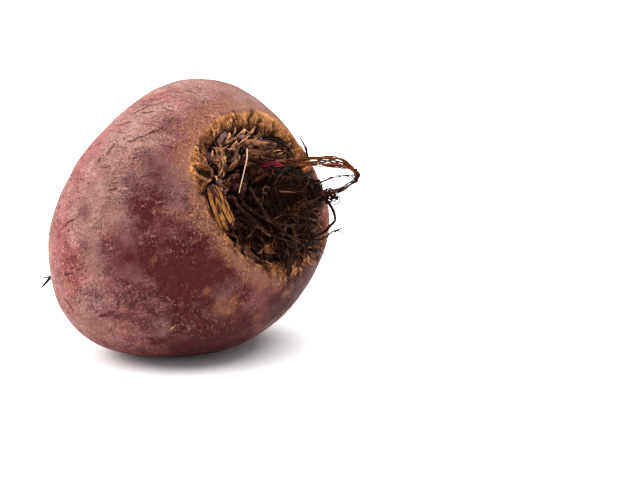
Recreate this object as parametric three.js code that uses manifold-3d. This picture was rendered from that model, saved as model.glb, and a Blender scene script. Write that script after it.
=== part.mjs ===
// A whole beetroot, twisted free of its leaves: the swollen root with its corky collar and thin tail,
// and in the collar's dish the torn leaf-stalk bases with a tangle of dead leaf fibres.
//
// Units are millimetres. The root is shaped in its crown frame: +Z runs along its axis out of the crown,
// and the origin is in its middle. It is then laid on its side on the plane Z = 0, where the origin is
// the centre of the flat spot that it rests on, the crown looks along -Y and up, and the tail lies at +Y.

import * as THREE from "three";
import { mergeVertices } from "three/addons/utils/BufferGeometryUtils.js";
import Module from "manifold-3d";

const wasm = await Module();
wasm.setup();

const degrees = THREE.MathUtils.degToRad;

// How the root lies.
const CROWN_TILT = 20; // degrees that the crown looks up
const MIDDLE = new THREE.Vector3(-1.25, 0.23, 37.72); // the root's middle, seen from the flat spot
const GAP = 0.4; // between the skin and what sits in the dish, along the root's axis
const CLEAR = 0.3; // between neighbouring pieces of the crown

// Half the root's outline from the crown down to the tail's tip: radius and height.
const OUTLINE = [
  [0, 37.6], [12.2, 37.0], [24.3, 34.0], [35.5, 27.4], [44.1, 16.2], [47.8, 1.9], [46.8, -9.3],
  [42.0, -20.3], [32.4, -30.0], [20.3, -37.0], [10.6, -41.7], [5.4, -46.7], [3.0, -53.0],
  [1.7, -57.5], [1.1, -61.0], [0.8, -64.0], [0, -66.5],
];
const RINGS = [4, 6, 9, 4, 3, 3, 3, 3, 3, 2, 2, 2, 2, 1, 1, 1]; // rings in each stretch of the outline
const LONGITUDES = 56;

// Where the root grew fuller (+) or flatter (-) than round: direction, share of the radius, spread in degrees.
const SWELLS = [
  [[-0.604, -0.514, -0.609], 0.025, 38],
  [[-0.447, 0.808, -0.383], -0.26, 40],
  [[0.085, 0.987, 0.138], -0.049, 38],
  [[0.686, 0.275, 0.674], -0.051, 30],
  [[0.712, -0.208, 0.671], 0.033, 20],
  [[0.396, -0.857, 0.331], -0.085, 36],
  [[-0.712, 0.208, -0.671], -0.083, 36],
  [[-0.382, -0.915, -0.131], -0.048, 26],
  [[0, -0.94, -0.342], -0.164, 34],
];
const SWELLS_END = -62; // height on the tail where they have faded out
const SWELLS_FADE = 16;

// The tail curves off the axis and hooks down at its thin end.
const AXIS_DRIFT = [-0.2, 1.4]; // at 50 mm below the middle
const TAIL_START = 44;
const TAIL_LENGTH = 22;
const TAIL_HOOK = [-4.9, -10.1];

// The corky collar round the crown, and the dish inside it.
const COLLAR_RADIUS = 26.5;
const COLLAR_RIDGE = 1.3;
const COLLAR_WIDTH = 3.2;
const SHOULDER_RISE = 0.6;
const WALL_WIDTH = 5; // the broad corky slope inside the crest
const WALL_DROP = 1.3;
const DISH_DEPTH = 2.6; // the steeper step from the slope down to the floor
const DISH_STEP = 3;
const SCAR = { x: -22, y: 9.8, turn: 156, along: 2.9, across: 1.7, depth: 1.1, rim: 0.6 };

// What fills the dish.
const PAD_MARGIN = 6.6; // from the collar's crest
const PAD_TOP = 1.5;
const STUB_COUNT = 48;
const STUB_MARGIN = 7.4; // from the collar's crest to the middle of the outermost stubs
const SCALE_MARGIN = 8.6;
const TANGLE = { x: 4.1, y: -4.9, radius: 12.2, base: 33.2, height: 12.4 };
const TANGLE_LOBE = { towards: [0.52, 0.3, 0.8], share: 0.3, spread: 38 }; // where it stands out most
const TANGLE_LOOPS = 36;
const TANGLE_ENDS = 9;

/** A number from 0 to 1 that looks random and is the same on every run. */
function scatter(i, k) {
  const value = Math.sin(i * 127.1 + k * 311.7) * 43758.5453;
  return value - Math.floor(value);
}

function smooth(value) {
  return THREE.MathUtils.smoothstep(value, 0, 1);
}

// ---- The skin ----

const outline = new THREE.SplineCurve(OUTLINE.map(([radius, height]) => new THREE.Vector2(radius, height)));

/** Radius of the collar's crest: a little oval, with a bulge at the old leaf scar. */
function crestRadius(angle) {
  const bulge = 1.3 * Math.exp(-(((angle - degrees(SCAR.turn)) / degrees(9)) ** 2));
  return COLLAR_RADIUS + 2.5 * Math.cos(angle - degrees(4)) + 1.6 * Math.cos(2 * angle + degrees(66)) + bulge;
}

/** How far the collar, the dish and the leaf scar lift the skin along the axis. */
function crownRelief(x, y) {
  const radius = Math.hypot(x, y);
  const angle = Math.atan2(y, x);
  const outside = radius - crestRadius(angle);
  const ridge = COLLAR_RIDGE * Math.exp(-((outside / COLLAR_WIDTH) ** 2));
  const shoulder = SHOULDER_RISE * Math.exp(-(((outside - 5) / 4) ** 2));
  const wall = -WALL_DROP * smooth((-outside - 0.5) / WALL_WIDTH);
  const dish = -DISH_DEPTH * smooth((0.9 * WALL_WIDTH + outside) / -DISH_STEP);
  const turn = degrees(SCAR.turn);
  const along = ((x - SCAR.x) * Math.cos(turn) + (y - SCAR.y) * Math.sin(turn)) / SCAR.along;
  const across = ((y - SCAR.y) * Math.cos(turn) - (x - SCAR.x) * Math.sin(turn)) / SCAR.across;
  const scarRadius = Math.hypot(along, across);
  const scar = SCAR.rim * Math.exp(-(((scarRadius - 1.5) / 0.45) ** 2)) - SCAR.depth * Math.exp(-(scarRadius ** 4));
  return ridge + shoulder + wall + dish + scar;
}

/** Moves a point of the round outline to where it lies on the grown root. */
function growSkin(point) {
  const below = Math.min(point.z, 0);
  const hook = Math.max((-point.z - TAIL_START) / TAIL_LENGTH, 0) ** 1.6;
  point.x += AXIS_DRIFT[0] * (below / 50) ** 2 + TAIL_HOOK[0] * hook;
  point.y += AXIS_DRIFT[1] * (below / 50) ** 2 + TAIL_HOOK[1] * hook;
  const fade = THREE.MathUtils.clamp((point.z - SWELLS_END) / SWELLS_FADE, 0, 1);
  let swell = 0;
  for (const [direction, amount, spread] of SWELLS) {
    const angle = point.angleTo(new THREE.Vector3(...direction));
    swell += amount * Math.exp(-((angle / degrees(spread)) ** 2));
  }
  point.multiplyScalar(1 + swell * fade);
  if (point.z > 0) {
    point.z += crownRelief(point.x, point.y);
  }
  return point;
}

/** The point of the crown at a radius and an angle round the axis, lifted off the skin. */
function crownPoint(radius, angle, lift = 0) {
  let near = 0;
  let far = 5 / (OUTLINE.length - 1);
  const point = new THREE.Vector3();
  for (let step = 0; step < 24; step += 1) {
    const middle = (near + far) / 2;
    const on = outline.getPoint(middle);
    growSkin(point.set(on.x * Math.cos(angle), on.x * Math.sin(angle), on.y));
    if (Math.hypot(point.x, point.y) < radius) {
      near = middle;
    } else {
      far = middle;
    }
  }
  point.z += lift;
  return point;
}

/** Moves every vertex of a geometry. */
function reshape(geometry, move) {
  const position = geometry.attributes.position;
  const vertex = new THREE.Vector3();
  for (let i = 0; i < position.count; i += 1) {
    vertex.fromBufferAttribute(position, i);
    move(vertex);
    position.setXYZ(i, vertex.x, vertex.y, vertex.z);
  }
  return geometry;
}

/** The body of the root, from the crown to the tail's tip. */
function rootGeometry() {
  const points = [];
  RINGS.forEach((count, stretch) => {
    for (let ring = 0; ring < count; ring += 1) {
      points.push(outline.getPoint((stretch + ring / count) / RINGS.length));
    }
  });
  points.push(outline.getPoint(1));
  points.reverse();
  const lathe = new THREE.LatheGeometry(points, LONGITUDES).rotateX(Math.PI / 2);
  return reshape(lathe, growSkin);
}

// ---- Solids ----

function solidOf(geometry) {
  const bare = geometry.clone();
  bare.deleteAttribute("normal");
  bare.deleteAttribute("uv");
  const merged = mergeVertices(bare, 1e-4);
  return new wasm.Manifold(new wasm.Mesh({
    numProp: 3,
    vertProperties: merged.attributes.position.array,
    triVerts: new Uint32Array(merged.index.array),
  }));
}

function join(geometries) {
  return geometries.map(solidOf).reduce((whole, piece) => whole.add(piece));
}

/** The largest connected body: loose scraps that a cut leaves are dropped. */
function largest(solid) {
  return solid.decompose().reduce((best, piece) => (piece.volume() > best.volume() ? piece : best));
}

/**
 * A closed strand, stem or blade along a curve. halfWidth and halfThick give its section along the curve;
 * with a facing direction its broad side turns that way.
 */
function strand(points, sides, steps, halfWidth, halfThick = halfWidth, facing = null) {
  const curve = new THREE.CatmullRomCurve3(points);
  const frames = curve.computeFrenetFrames(steps);
  return reshape(new THREE.CylinderGeometry(1, 1, 1, sides, steps), (vertex) => {
    const share = vertex.y + 0.5;
    const step = Math.round(share * steps);
    const tangent = frames.tangents[step];
    const side = facing ? tangent.clone().cross(facing).normalize() : frames.normals[step];
    const up = side.clone().cross(tangent);
    const across = side.clone().multiplyScalar(vertex.x * halfWidth(share));
    const through = up.multiplyScalar(vertex.z * halfThick(share));
    vertex.copy(curve.getPointAt(share)).add(across).add(through);
  });
}

function vector([x, y, z]) {
  return new THREE.Vector3(x, y, z);
}

/** Half the thickness of a strand that thins towards its end. */
function taper(from, to, grow) {
  return (share) => THREE.MathUtils.lerp(from, to, share) + grow;
}

/** Half the width of a blade that is pointed at both ends. */
function spindle(middle, grow) {
  return (share) => middle * (0.2 + 0.8 * Math.sin(Math.PI * Math.min(share * 0.9 + 0.08, 1)) ** 0.8) + grow;
}

// ---- Rootlets on the tail ----

const ROOTLETS = [
  [[-2.4, -4.6, -60], [-5.0, -4.4, -62.2], [-6.4, -3.5, -63.2]],
  [[0.4, -1.6, -55], [3.6, -1.4, -58.4], [5.2, -2.6, -62.5]],
  [[1.2, 2.2, -49], [2.4, 5.4, -51.6], [2.2, 8.4, -52.4]],
];

function rootletGeometry(points) {
  return strand(points.map(vector), 4, 4, taper(0.55, 0.35, 0));
}

// ---- Leaf-stalk bases ----

/** The thin bed of dead stalk tissue that the stubs stand in. */
function padGeometry(grow) {
  const section = [[0, -1], [0.5, -1], [1, -1], [1, 1], [0.5, 1], [0, 1]];
  const points = section.map(([share, level]) => new THREE.Vector2(share, level));
  const lathe = new THREE.LatheGeometry(points, 28).rotateX(Math.PI / 2);
  return reshape(lathe, (vertex) => {
    const angle = Math.atan2(vertex.y, vertex.x);
    const reach = crestRadius(angle) - PAD_MARGIN + grow;
    const lift = vertex.z > 0 ? PAD_TOP + grow : -1;
    vertex.copy(crownPoint(Math.hypot(vertex.x, vertex.y) * reach, angle, lift));
  });
}

/** One torn stalk base: a crescent slab that leans outwards, with a ragged top. */
function stubGeometry(i, radius, angle, grow) {
  const width = 3.6 + 2.4 * scatter(i, 1) + 2 * grow;
  const thick = 1.2 + 0.6 * scatter(i, 2) + 2 * grow;
  const height = 3.6 + 3.2 * scatter(i, 3) + grow;
  const lean = 0.4 + 1.6 * scatter(i, 4);
  const box = reshape(new THREE.BoxGeometry(width, thick, height, 2, 1, 2), (vertex) => {
    const across = (2 * vertex.x) / width;
    const share = vertex.z / height + 0.5;
    vertex.x *= 1 - 0.3 * share;
    vertex.y += lean * share * share - 0.9 * across * across;
    if (share > 0.9) {
      vertex.z += 1.9 * (scatter(i, 8 + Math.round(across)) - 0.6);
    }
  });
  box.translate(0, 0, height / 2).rotateZ(angle - Math.PI / 2 + 0.7 * (scatter(i, 5) - 0.5));
  const foot = crownPoint(radius, angle, -0.2);
  return box.translate(foot.x, foot.y, foot.z);
}

/** The stubs stand in the spiral in which leaves grow, and stop short of the fibre tangle. */
function stubGeometries(grow) {
  const golden = degrees(137.508);
  const stubs = [];
  for (let i = 0; i < STUB_COUNT; i += 1) {
    const angle = i * golden;
    const radius = (crestRadius(angle) - STUB_MARGIN) * Math.sqrt((i + 0.5) / STUB_COUNT);
    const away = Math.hypot(radius * Math.cos(angle) - TANGLE.x, radius * Math.sin(angle) - TANGLE.y);
    if (away > TANGLE.radius + 0.6) {
      stubs.push(stubGeometry(i, radius, angle, grow));
    }
  }
  return stubs;
}

// Long glossy stalk bases that lie along the left of the dish: route, half width.
const STEMS = [
  [[[-16.4, 7.0, 33.4], [-19.6, 3.6, 35.8], [-20.0, -1.8, 36.6], [-18.2, -6.2, 35.6], [-14.4, -8.4, 33.0]], 1.3],
  [[[-14.4, 6.2, 33.6], [-17.0, 2.6, 36.6], [-17.2, -2.6, 37.4], [-14.8, -7.0, 36.0], [-12.4, -9.6, 33.2]], 1.2],
];

function stemGeometry([points, halfWidth], grow) {
  const half = (share) => halfWidth * (0.65 + 0.35 * Math.sin(Math.PI * share)) + grow;
  return strand(points.map(vector), 6, 6, half, (share) => 0.7 * half(share), new THREE.Vector3(-0.7, 0, 0.7));
}

// Dry scales that hang over the lower edge of the collar: angle, length, half width.
const SCALES = [
  [206, 7.5, 1.5],
  [221, 8.5, 1.8],
  [237, 9.0, 1.7],
  [254, 8.5, 1.6],
  [275, 13.5, 1.3],
  [290, 10.5, 1.1],
  [307, 11.5, 1.5],
  [326, 10.5, 1.3],
];

function scaleGeometry([turn, length, halfWidth], grow) {
  const angle = degrees(turn);
  const foot = crestRadius(angle) - SCALE_MARGIN;
  const points = [
    crownPoint(foot, angle, 0.6),
    crownPoint(foot + 0.33 * length, angle + 0.03, 2.6),
    crownPoint(foot + 0.66 * length, angle + 0.05, 2.4),
    crownPoint(foot + length, angle + 0.04, 1.3),
  ];
  const facing = new THREE.Vector3(0.3 * Math.cos(angle), 0.3 * Math.sin(angle), 1);
  return strand(points, 4, 5, spindle(halfWidth, grow), () => 0.55 + grow, facing);
}

function stalkPieces(grow) {
  return [
    padGeometry(grow),
    ...stubGeometries(grow),
    ...STEMS.map((stem) => stemGeometry(stem, grow)),
    ...SCALES.map((scale) => scaleGeometry(scale, grow)),
  ];
}

// ---- The tangle of dead leaf fibres ----

/** How much further the tangle reaches out in one direction, as a share of its size. */
function lobeAt(direction) {
  const apart = vector(TANGLE_LOBE.towards).angleTo(direction);
  return TANGLE_LOBE.share * Math.exp(-((apart / degrees(TANGLE_LOBE.spread)) ** 2));
}

/** A point of the tangle's dome: angle round it, height angle, share of its size. */
function domePoint(angle, rise, share) {
  const out = new THREE.Vector3(Math.cos(angle) * Math.cos(rise), Math.sin(angle) * Math.cos(rise), Math.sin(rise));
  const size = share + lobeAt(out);
  return new THREE.Vector3(
    TANGLE.x + TANGLE.radius * size * out.x,
    TANGLE.y + TANGLE.radius * size * out.y,
    TANGLE.base + TANGLE.height * size * out.z,
  );
}

/** The dense middle of the tangle, which the strands stand out of. */
function coreGeometry(grow) {
  const sphere = new THREE.SphereGeometry(1, 18, 12);
  return reshape(sphere, (vertex) => {
    const waves = 0.07 * Math.sin(5 * vertex.x + 2) * Math.cos(4 * vertex.y) + 0.05 * Math.sin(7 * vertex.z);
    const lump = 1 + waves + lobeAt(vertex);
    vertex.set(
      TANGLE.x + vertex.x * (TANGLE.radius * lump + grow),
      TANGLE.y + vertex.y * (TANGLE.radius * lump + grow),
      TANGLE.base + vertex.z * (TANGLE.height * lump + grow),
    );
  });
}

/** A fibre that leaves the middle, arches over it and dives back in. */
function arch(i, grow) {
  const angle = degrees(137.508) * i;
  const rise = degrees(8 + 70 * scatter(i, 21));
  const swing = (scatter(i, 22) > 0.5 ? 1 : -1) * degrees(32 + 34 * scatter(i, 23));
  const climb = degrees(30 * (scatter(i, 24) - 0.5));
  const points = [
    domePoint(angle, rise, 0.86),
    domePoint(angle + 0.33 * swing, rise + 0.4 * climb, 1.12),
    domePoint(angle + 0.66 * swing, rise + 0.8 * climb, 1.13 + 0.12 * scatter(i, 25)),
    domePoint(angle + swing, rise + climb, 0.86),
  ];
  return strand(points, 3, 6, taper(0.55, 0.5, grow));
}

/** A fibre that ends free, outside the tangle. */
function freeEnd(i, grow) {
  const angle = degrees(-75 + 24 * i);
  const rise = degrees(16 + 34 * scatter(i, 31));
  const bend = degrees(34 * (scatter(i, 32) - 0.5));
  const points = [
    domePoint(angle, rise, 0.8),
    domePoint(angle + 0.4 * bend, rise + 0.1, 1.12),
    domePoint(angle + bend, rise + 0.3, 1.3 + 0.14 * scatter(i, 33)),
  ];
  return strand(points, 3, 5, taper(0.5, 0.35, grow));
}

// Thick dark strands: route, half thickness at either end.
const THICK_STRANDS = [
  [[[8, -3, 42], [12.4, -4.6, 46.8], [14.2, -8.9, 48], [15.2, -11.5, 46.8], [14.4, -13.6, 44], [11.5, -15.4, 40],
    [7, -15.0, 36]], 0.9, 0.55],
  [[[7, -11, 38], [9.4, -15.6, 40.4], [12.2, -16.2, 43.2], [16.4, -14.7, 46], [17.6, -15.0, 47.2]], 0.55, 0.38],
];

function tanglePieces(grow) {
  const arches = Array.from({ length: TANGLE_LOOPS }, (_, i) => arch(i, grow));
  const ends = Array.from({ length: TANGLE_ENDS }, (_, i) => freeEnd(i, grow));
  const thick = THICK_STRANDS.map(([points, from, to]) => (
    strand(points.map(vector), 5, 14, taper(from, to, grow))
  ));
  return [coreGeometry(grow), ...arches, ...ends, ...thick];
}

// ---- The brown loop of fibres that arches out of the crown and back ----

// Each fibre's route and half thickness. They cross at the far bend, where they hold together.
const LOOP = [
  [[[10.6, 8.6, 34.4], [11.2, 8.6, 41], [12.0, 7.8, 47], [14.0, 6.2, 52], [15.4, 4.4, 56], [17.4, 1.0, 58],
    [17.9, -1.8, 56.8]], 0.5],
  [[[12.4, 9.4, 34.0], [12.8, 8.0, 41], [13.0, 6.4, 47], [14.6, 5.2, 52], [15.6, 4.2, 56], [17.5, 0.9, 58],
    [17.8, -1.9, 56.6]], 0.45],
  [[[10.8, 7.6, 34.4], [11.4, 8.0, 41], [13.4, 8.0, 47], [14.9, 6.4, 52], [15.8, 4.1, 55.8], [17.6, 0.9, 57.8],
    [17.9, -1.7, 56.9]], 0.42],
  [[[17.5, 0.4, 58], [17.8, -1.4, 57], [16.3, -0.7, 54], [14.9, -0.1, 51], [12.6, -0.8, 46]], 0.42],
  [[[17.6, -0.2, 57.8], [17.6, -2.2, 56.8], [15.3, -3.5, 54], [13.9, -4.1, 51], [12.0, -4.2, 45.6]], 0.55],
];

function loopPieces() {
  return LOOP.map(([points, half]) => strand(points.map(vector), 5, 12, () => half));
}

// ---- Assembly ----

const laid = new THREE.Matrix4().makeTranslation(MIDDLE.x, MIDDLE.y, MIDDLE.z)
  .multiply(new THREE.Matrix4().makeRotationX(degrees(90 - CROWN_TILT)));

/** Lays a solid of the crown frame down and makes it a named mesh; what is under the floor is cut off. */
function pieceOf(name, solid, finish) {
  const { numProp, vertProperties, triVerts } = largest(solid).getMesh();
  const shaped = new THREE.BufferGeometry();
  shaped.setAttribute("position", new THREE.BufferAttribute(new Float32Array(vertProperties), numProp));
  shaped.setIndex(new THREE.BufferAttribute(new Uint32Array(triVerts), 1));
  shaped.applyMatrix4(laid);
  const floor = solidOf(new THREE.BoxGeometry(300, 300, 50).translate(0, 0, -25));
  const cut = solidOf(shaped).subtract(floor).getMesh();
  const geometry = new THREE.BufferGeometry();
  geometry.setAttribute("position", new THREE.BufferAttribute(new Float32Array(cut.vertProperties), 3));
  geometry.setIndex(new THREE.BufferAttribute(new Uint32Array(cut.triVerts), 1));
  reshape(geometry, (vertex) => {
    vertex.z = Math.abs(vertex.z) < 1e-4 ? 0 : vertex.z;
  });
  geometry.computeVertexNormals();
  const mesh = new THREE.Mesh(geometry, new THREE.MeshStandardMaterial({ metalness: 0, ...finish }));
  mesh.name = name;
  return mesh;
}

const root = join([rootGeometry(), ...ROOTLETS.map(rootletGeometry)]);
const skinKeptClear = root.translate([0, 0, GAP]);
const stubs = join(stalkPieces(0)).subtract(skinKeptClear);
const stubsKeptClear = join(stalkPieces(CLEAR)).add(skinKeptClear);
const tangle = join(tanglePieces(0)).subtract(stubsKeptClear);
const tangleKeptClear = join(tanglePieces(CLEAR)).add(stubsKeptClear);
const loop = join(loopPieces()).subtract(tangleKeptClear);

const beetroot = new THREE.Group();
beetroot.add(
  pieceOf("root", root, { color: 0x8a5150, roughness: 0.62 }),
  pieceOf("stalk_stubs", stubs, { color: 0x6a4a2c, roughness: 0.75 }),
  pieceOf("fibre_tangle", tangle, { color: 0x241812, roughness: 0.8 }),
  pieceOf("fibre_loop", loop, { color: 0x6e3d1e, roughness: 0.7 }),
);

export default beetroot;
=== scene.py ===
"""A whole beetroot, twisted free of its leaves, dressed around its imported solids.

The skin is shaped in the root's crown frame, in millimetres: +Z runs along its axis out of the crown and the
origin is in its middle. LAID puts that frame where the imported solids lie, in metres.
"""

import math

import bmesh
import bpy
import numpy as np
from bpy.props import FloatProperty, FloatVectorProperty, IntProperty, PointerProperty
from mathutils import Matrix, Vector, noise


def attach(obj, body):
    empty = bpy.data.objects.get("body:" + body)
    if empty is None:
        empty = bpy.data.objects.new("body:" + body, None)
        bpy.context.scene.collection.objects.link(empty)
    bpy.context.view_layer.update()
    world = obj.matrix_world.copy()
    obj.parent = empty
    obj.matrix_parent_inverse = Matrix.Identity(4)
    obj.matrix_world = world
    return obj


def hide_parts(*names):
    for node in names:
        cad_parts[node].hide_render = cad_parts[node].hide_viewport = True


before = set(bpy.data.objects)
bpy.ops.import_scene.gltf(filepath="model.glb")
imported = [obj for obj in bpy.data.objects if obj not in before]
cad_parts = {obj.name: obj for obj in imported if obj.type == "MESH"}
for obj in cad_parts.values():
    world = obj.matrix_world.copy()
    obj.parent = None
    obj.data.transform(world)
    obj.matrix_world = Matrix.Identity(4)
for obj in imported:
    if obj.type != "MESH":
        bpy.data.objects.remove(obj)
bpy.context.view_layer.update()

bl_info = {
    "name": "Beetroot",
    "version": (1, 0, 0),
    "blender": (4, 5, 0),
    "location": "View3D > Sidebar > Beetroot",
    "description": "Dresses a beetroot's solids with skin, torn leaf stalks and dry fibres",
    "category": "Object",
}

MM = 0.001
BODY = "root"

# How the root lies: its middle over the flat spot that it rests on, in millimetres, and the crown's tilt.
MIDDLE = Vector((-1.25, 0.23, 37.72))
CROWN_TILT = math.radians(20)
LAID = Matrix.Scale(MM, 4) @ Matrix.Translation(MIDDLE) @ Matrix.Rotation(math.pi / 2 - CROWN_TILT, 4, "X")

# The framing: the middle of the root lies on this pixel of a 640 by 480 frame, seen from this side.
FRAME_WIDTH = 640
FRAME_HEIGHT = 480
MIDDLE_PIXEL = (181.7, 219.7)
PIXELS_PER_MM = 3.3
CAMERA_DISTANCE = 620.0
CAMERA_TURN = math.radians(-45)
CAMERA_RISE = math.radians(12)
SENSOR_WIDTH = 36.0

# The lights: how wide the overhead light spreads, in degrees, and the softbox, in metres.
OVERHEAD_SPREAD = 116
SOFTBOX_SIZE = 0.7
SOFTBOX_DISTANCE = 0.75

# Half the root's outline from the crown down to the tail's tip: radius and height.
OUTLINE = np.array([
    (0, 37.6), (12.2, 37.0), (24.3, 34.0), (35.5, 27.4), (44.1, 16.2), (47.8, 1.9), (46.8, -9.3),
    (42.0, -20.3), (32.4, -30.0), (20.3, -37.0), (10.6, -41.7), (5.2, -46.7), (2.5, -53.0),
    (1.1, -57.5), (0.6, -61.0), (0.4, -64.0), (0, -66.5),
])
SKIN_RINGS = [10, 22, 44, 18, 14, 12, 12, 12, 11, 9, 7, 6, 5, 4, 3, 4]  # rings in each stretch of the outline
SKIN_LONGITUDES = 460
OUTLINE_SAMPLES = 900
WIDEST = 5  # the outline's point where the root is widest
HALVINGS = 24  # how often the search for a place on the crown halves its range

# Where the root grew fuller (+) or flatter (-) than round: direction, share of the radius, spread in degrees.
SWELLS = [
    ((-0.604, -0.514, -0.609), 0.025, 38),
    ((-0.447, 0.808, -0.383), -0.26, 40),
    ((0.085, 0.987, 0.138), -0.049, 38),
    ((0.686, 0.275, 0.674), -0.051, 30),
    ((0.712, -0.208, 0.671), 0.033, 20),
    ((0.396, -0.857, 0.331), -0.085, 36),
    ((-0.712, 0.208, -0.671), -0.083, 36),
    ((-0.382, -0.915, -0.131), -0.048, 26),
    ((0, -0.94, -0.342), -0.164, 34),
]
SWELLS_END = -62
SWELLS_FADE = 16
AXIS_DRIFT = (-0.2, 1.4)
TAIL_START = 44
TAIL_LENGTH = 22
TAIL_HOOK = (-4.9, -10.1)

# The corky collar round the crown with its radial cracks, and the dish inside it.
CRACK_COUNT = 50
COLLAR_RADIUS = 26.5
COLLAR_RIDGE = 1.3
COLLAR_WIDTH = 3.2
SHOULDER_RISE = 0.6
WALL_WIDTH = 5
WALL_DROP = 1.3
DISH_DEPTH = 2.6
DISH_STEP = 2
LOWER_SLOPE = 2.4
SCAR = {"x": -19.6, "y": 10.3, "turn": math.radians(151), "along": 2.9, "across": 1.25, "depth": 1.2,
        "rim": 0.5, "tab": 4.6}

# What fills the dish.
FLAP_SINK = 1.2
STUB_MARGIN = 7.4
TANGLE_MIDDLE = np.array((4.1, -4.9, 33.2))
TANGLE_SIZE = np.array((12.2, 12.2, 12.4))
TANGLE_LOBE = {"towards": (0.52, 0.3, 0.8), "share": 0.3, "spread": 38}  # where it stands out most
GOLDEN_ANGLE = math.radians(137.508)


def linear(hex_colour):
    """An sRGB hex colour as linear red, green and blue."""
    parts = [int(hex_colour[i:i + 2], 16) / 255 for i in (1, 3, 5)]
    return tuple(c / 12.92 if c <= 0.04045 else ((c + 0.055) / 1.055) ** 2.4 for c in parts)


def scatter(i, k):
    """A number from 0 to 1 that looks random and is the same on every run; k tells its uses apart."""
    value = math.sin(i * 127.1 + k * 311.7) * 43758.5453
    return value - math.floor(value)


def shake(i, *keys):
    """A vector of numbers from -0.5 to 0.5 that look random."""
    return np.array([scatter(i, k) - 0.5 for k in keys])


def unit(vectors):
    """One vector, or each of several, at length 1."""
    vectors = np.asarray(vectors, float)
    return vectors / np.linalg.norm(vectors, axis=-1, keepdims=True)


def smooth(value):
    """0 below 0, 1 above 1, and a soft step between."""
    t = np.clip(value, 0, 1)
    return t * t * (3 - 2 * t)


def bell(value):
    """1 at 0 and falling off softly on both sides."""
    return np.exp(-value ** 2)


def noise_at(points, size, seed):
    """Soft noise from -1 to 1 whose lumps are about size across."""
    offset = Vector((seed, 2.7 * seed, -1.3 * seed))
    return np.array([noise.noise(Vector(p) / size + offset) for p in points])


def noise_of(x, y, z):
    """Soft noise from -1 to 1 at each of these coordinates; any of them may be a single number."""
    return np.array([noise.noise(p) for p in np.broadcast(x, y, z)])


# ---- The grown form ----

def spline(points, share):
    """The smooth curve through the points, at shares of it from 0 to 1."""
    place = (len(points) - 1) * np.asarray(share, float)
    start = np.minimum(np.floor(place).astype(int), len(points) - 2)
    t = (place - start)[:, None]
    before = points[np.maximum(start - 1, 0)]
    a = points[start]
    b = points[start + 1]
    after = points[np.minimum(start + 2, len(points) - 1)]
    leave = (b - before) / 2
    arrive = (after - a) / 2
    cubic = 2 * a - 2 * b + leave + arrive
    square = 3 * b - 3 * a - 2 * leave - arrive
    return cubic * t ** 3 + square * t ** 2 + leave * t + a


def near_scar_turn(angle):
    """1 in the old leaf scar's direction, and 0 away from it."""
    turned = (angle - SCAR["turn"] + math.pi) % (2 * math.pi) - math.pi
    return bell(turned / math.radians(9))


def crest_radius(angle):
    """Radius of the collar's crest: a little oval, with a bulge at the old leaf scar."""
    oval = 2.5 * np.cos(angle - math.radians(4)) + 1.6 * np.cos(2 * angle + math.radians(66))
    return COLLAR_RADIUS + oval + 1.3 * near_scar_turn(angle)


def dish_radius(angle):
    """The crest's radius, less what the scar's tab and the crumbled slope below take from the dish."""
    below = (angle + 1.5 + math.pi) % (2 * math.pi) - math.pi
    return crest_radius(angle) - SCAR["tab"] * near_scar_turn(angle) - LOWER_SLOPE * bell(below / 0.7)


def scar_radius(x, y):
    """Distance from the old leaf scar's middle, where 1 is its edge."""
    turn = SCAR["turn"]
    along = ((x - SCAR["x"]) * math.cos(turn) + (y - SCAR["y"]) * math.sin(turn)) / SCAR["along"]
    across = ((y - SCAR["y"]) * math.cos(turn) - (x - SCAR["x"]) * math.sin(turn)) / SCAR["across"]
    return np.hypot(along, across)


def crown_relief(x, y):
    """How far the collar, the dish and the leaf scar lift the skin along the axis."""
    outside = np.hypot(x, y) - crest_radius(np.arctan2(y, x))
    ridge = COLLAR_RIDGE * bell(outside / COLLAR_WIDTH)
    shoulder = SHOULDER_RISE * bell((outside - 5) / 4)
    inside = dish_radius(np.arctan2(y, x)) - np.hypot(x, y)
    wall = -WALL_DROP * smooth((inside - 0.5) / WALL_WIDTH)
    dish = -DISH_DEPTH * smooth((inside - 0.76 * WALL_WIDTH) / DISH_STEP)
    near = scar_radius(x, y)
    scar = SCAR["rim"] * bell((near - 1.5) / 0.45) - SCAR["depth"] * np.exp(-near ** 4)
    return ridge + shoulder + wall + dish + scar


def grow_skin(points):
    """Moves points of the round outline to where they lie on the grown root."""
    p = np.array(points, float)
    below = np.minimum(p[:, 2], 0)
    hook = np.maximum((-p[:, 2] - TAIL_START) / TAIL_LENGTH, 0) ** 1.6
    p[:, 0] += AXIS_DRIFT[0] * (below / 50) ** 2 + TAIL_HOOK[0] * hook
    p[:, 1] += AXIS_DRIFT[1] * (below / 50) ** 2 + TAIL_HOOK[1] * hook
    fade = np.clip((p[:, 2] - SWELLS_END) / SWELLS_FADE, 0, 1)
    outward = unit(p)
    swell = np.zeros(len(p))
    for direction, amount, spread in SWELLS:
        angle = np.arccos(np.clip(outward @ unit(direction), -1, 1))
        swell += amount * bell(angle / math.radians(spread))
    p *= (1 + swell * fade)[:, None]
    p[:, 2] += np.where(p[:, 2] > 0, crown_relief(p[:, 0], p[:, 1]), 0)
    return p


def crown_point(radius, angle, lift=0.0):
    """The point of the crown at a radius and an angle round the axis, lifted off the skin."""
    near = 0
    far = WIDEST / (len(OUTLINE) - 1)
    for _ in range(HALVINGS):
        middle = (near + far) / 2
        out, up = spline(OUTLINE, [middle])[0]
        point = grow_skin([(out * math.cos(angle), out * math.sin(angle), up)])[0]
        if math.hypot(point[0], point[1]) < radius:
            near = middle
        else:
            far = middle
    return point + (0, 0, lift)


# ---- Meshes ----

def lay(points):
    """Crown-frame points, in millimetres, as row-frame points in metres."""
    turn = np.array(LAID.to_3x3())
    return points @ turn.T + np.array(LAID.translation)


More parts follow.
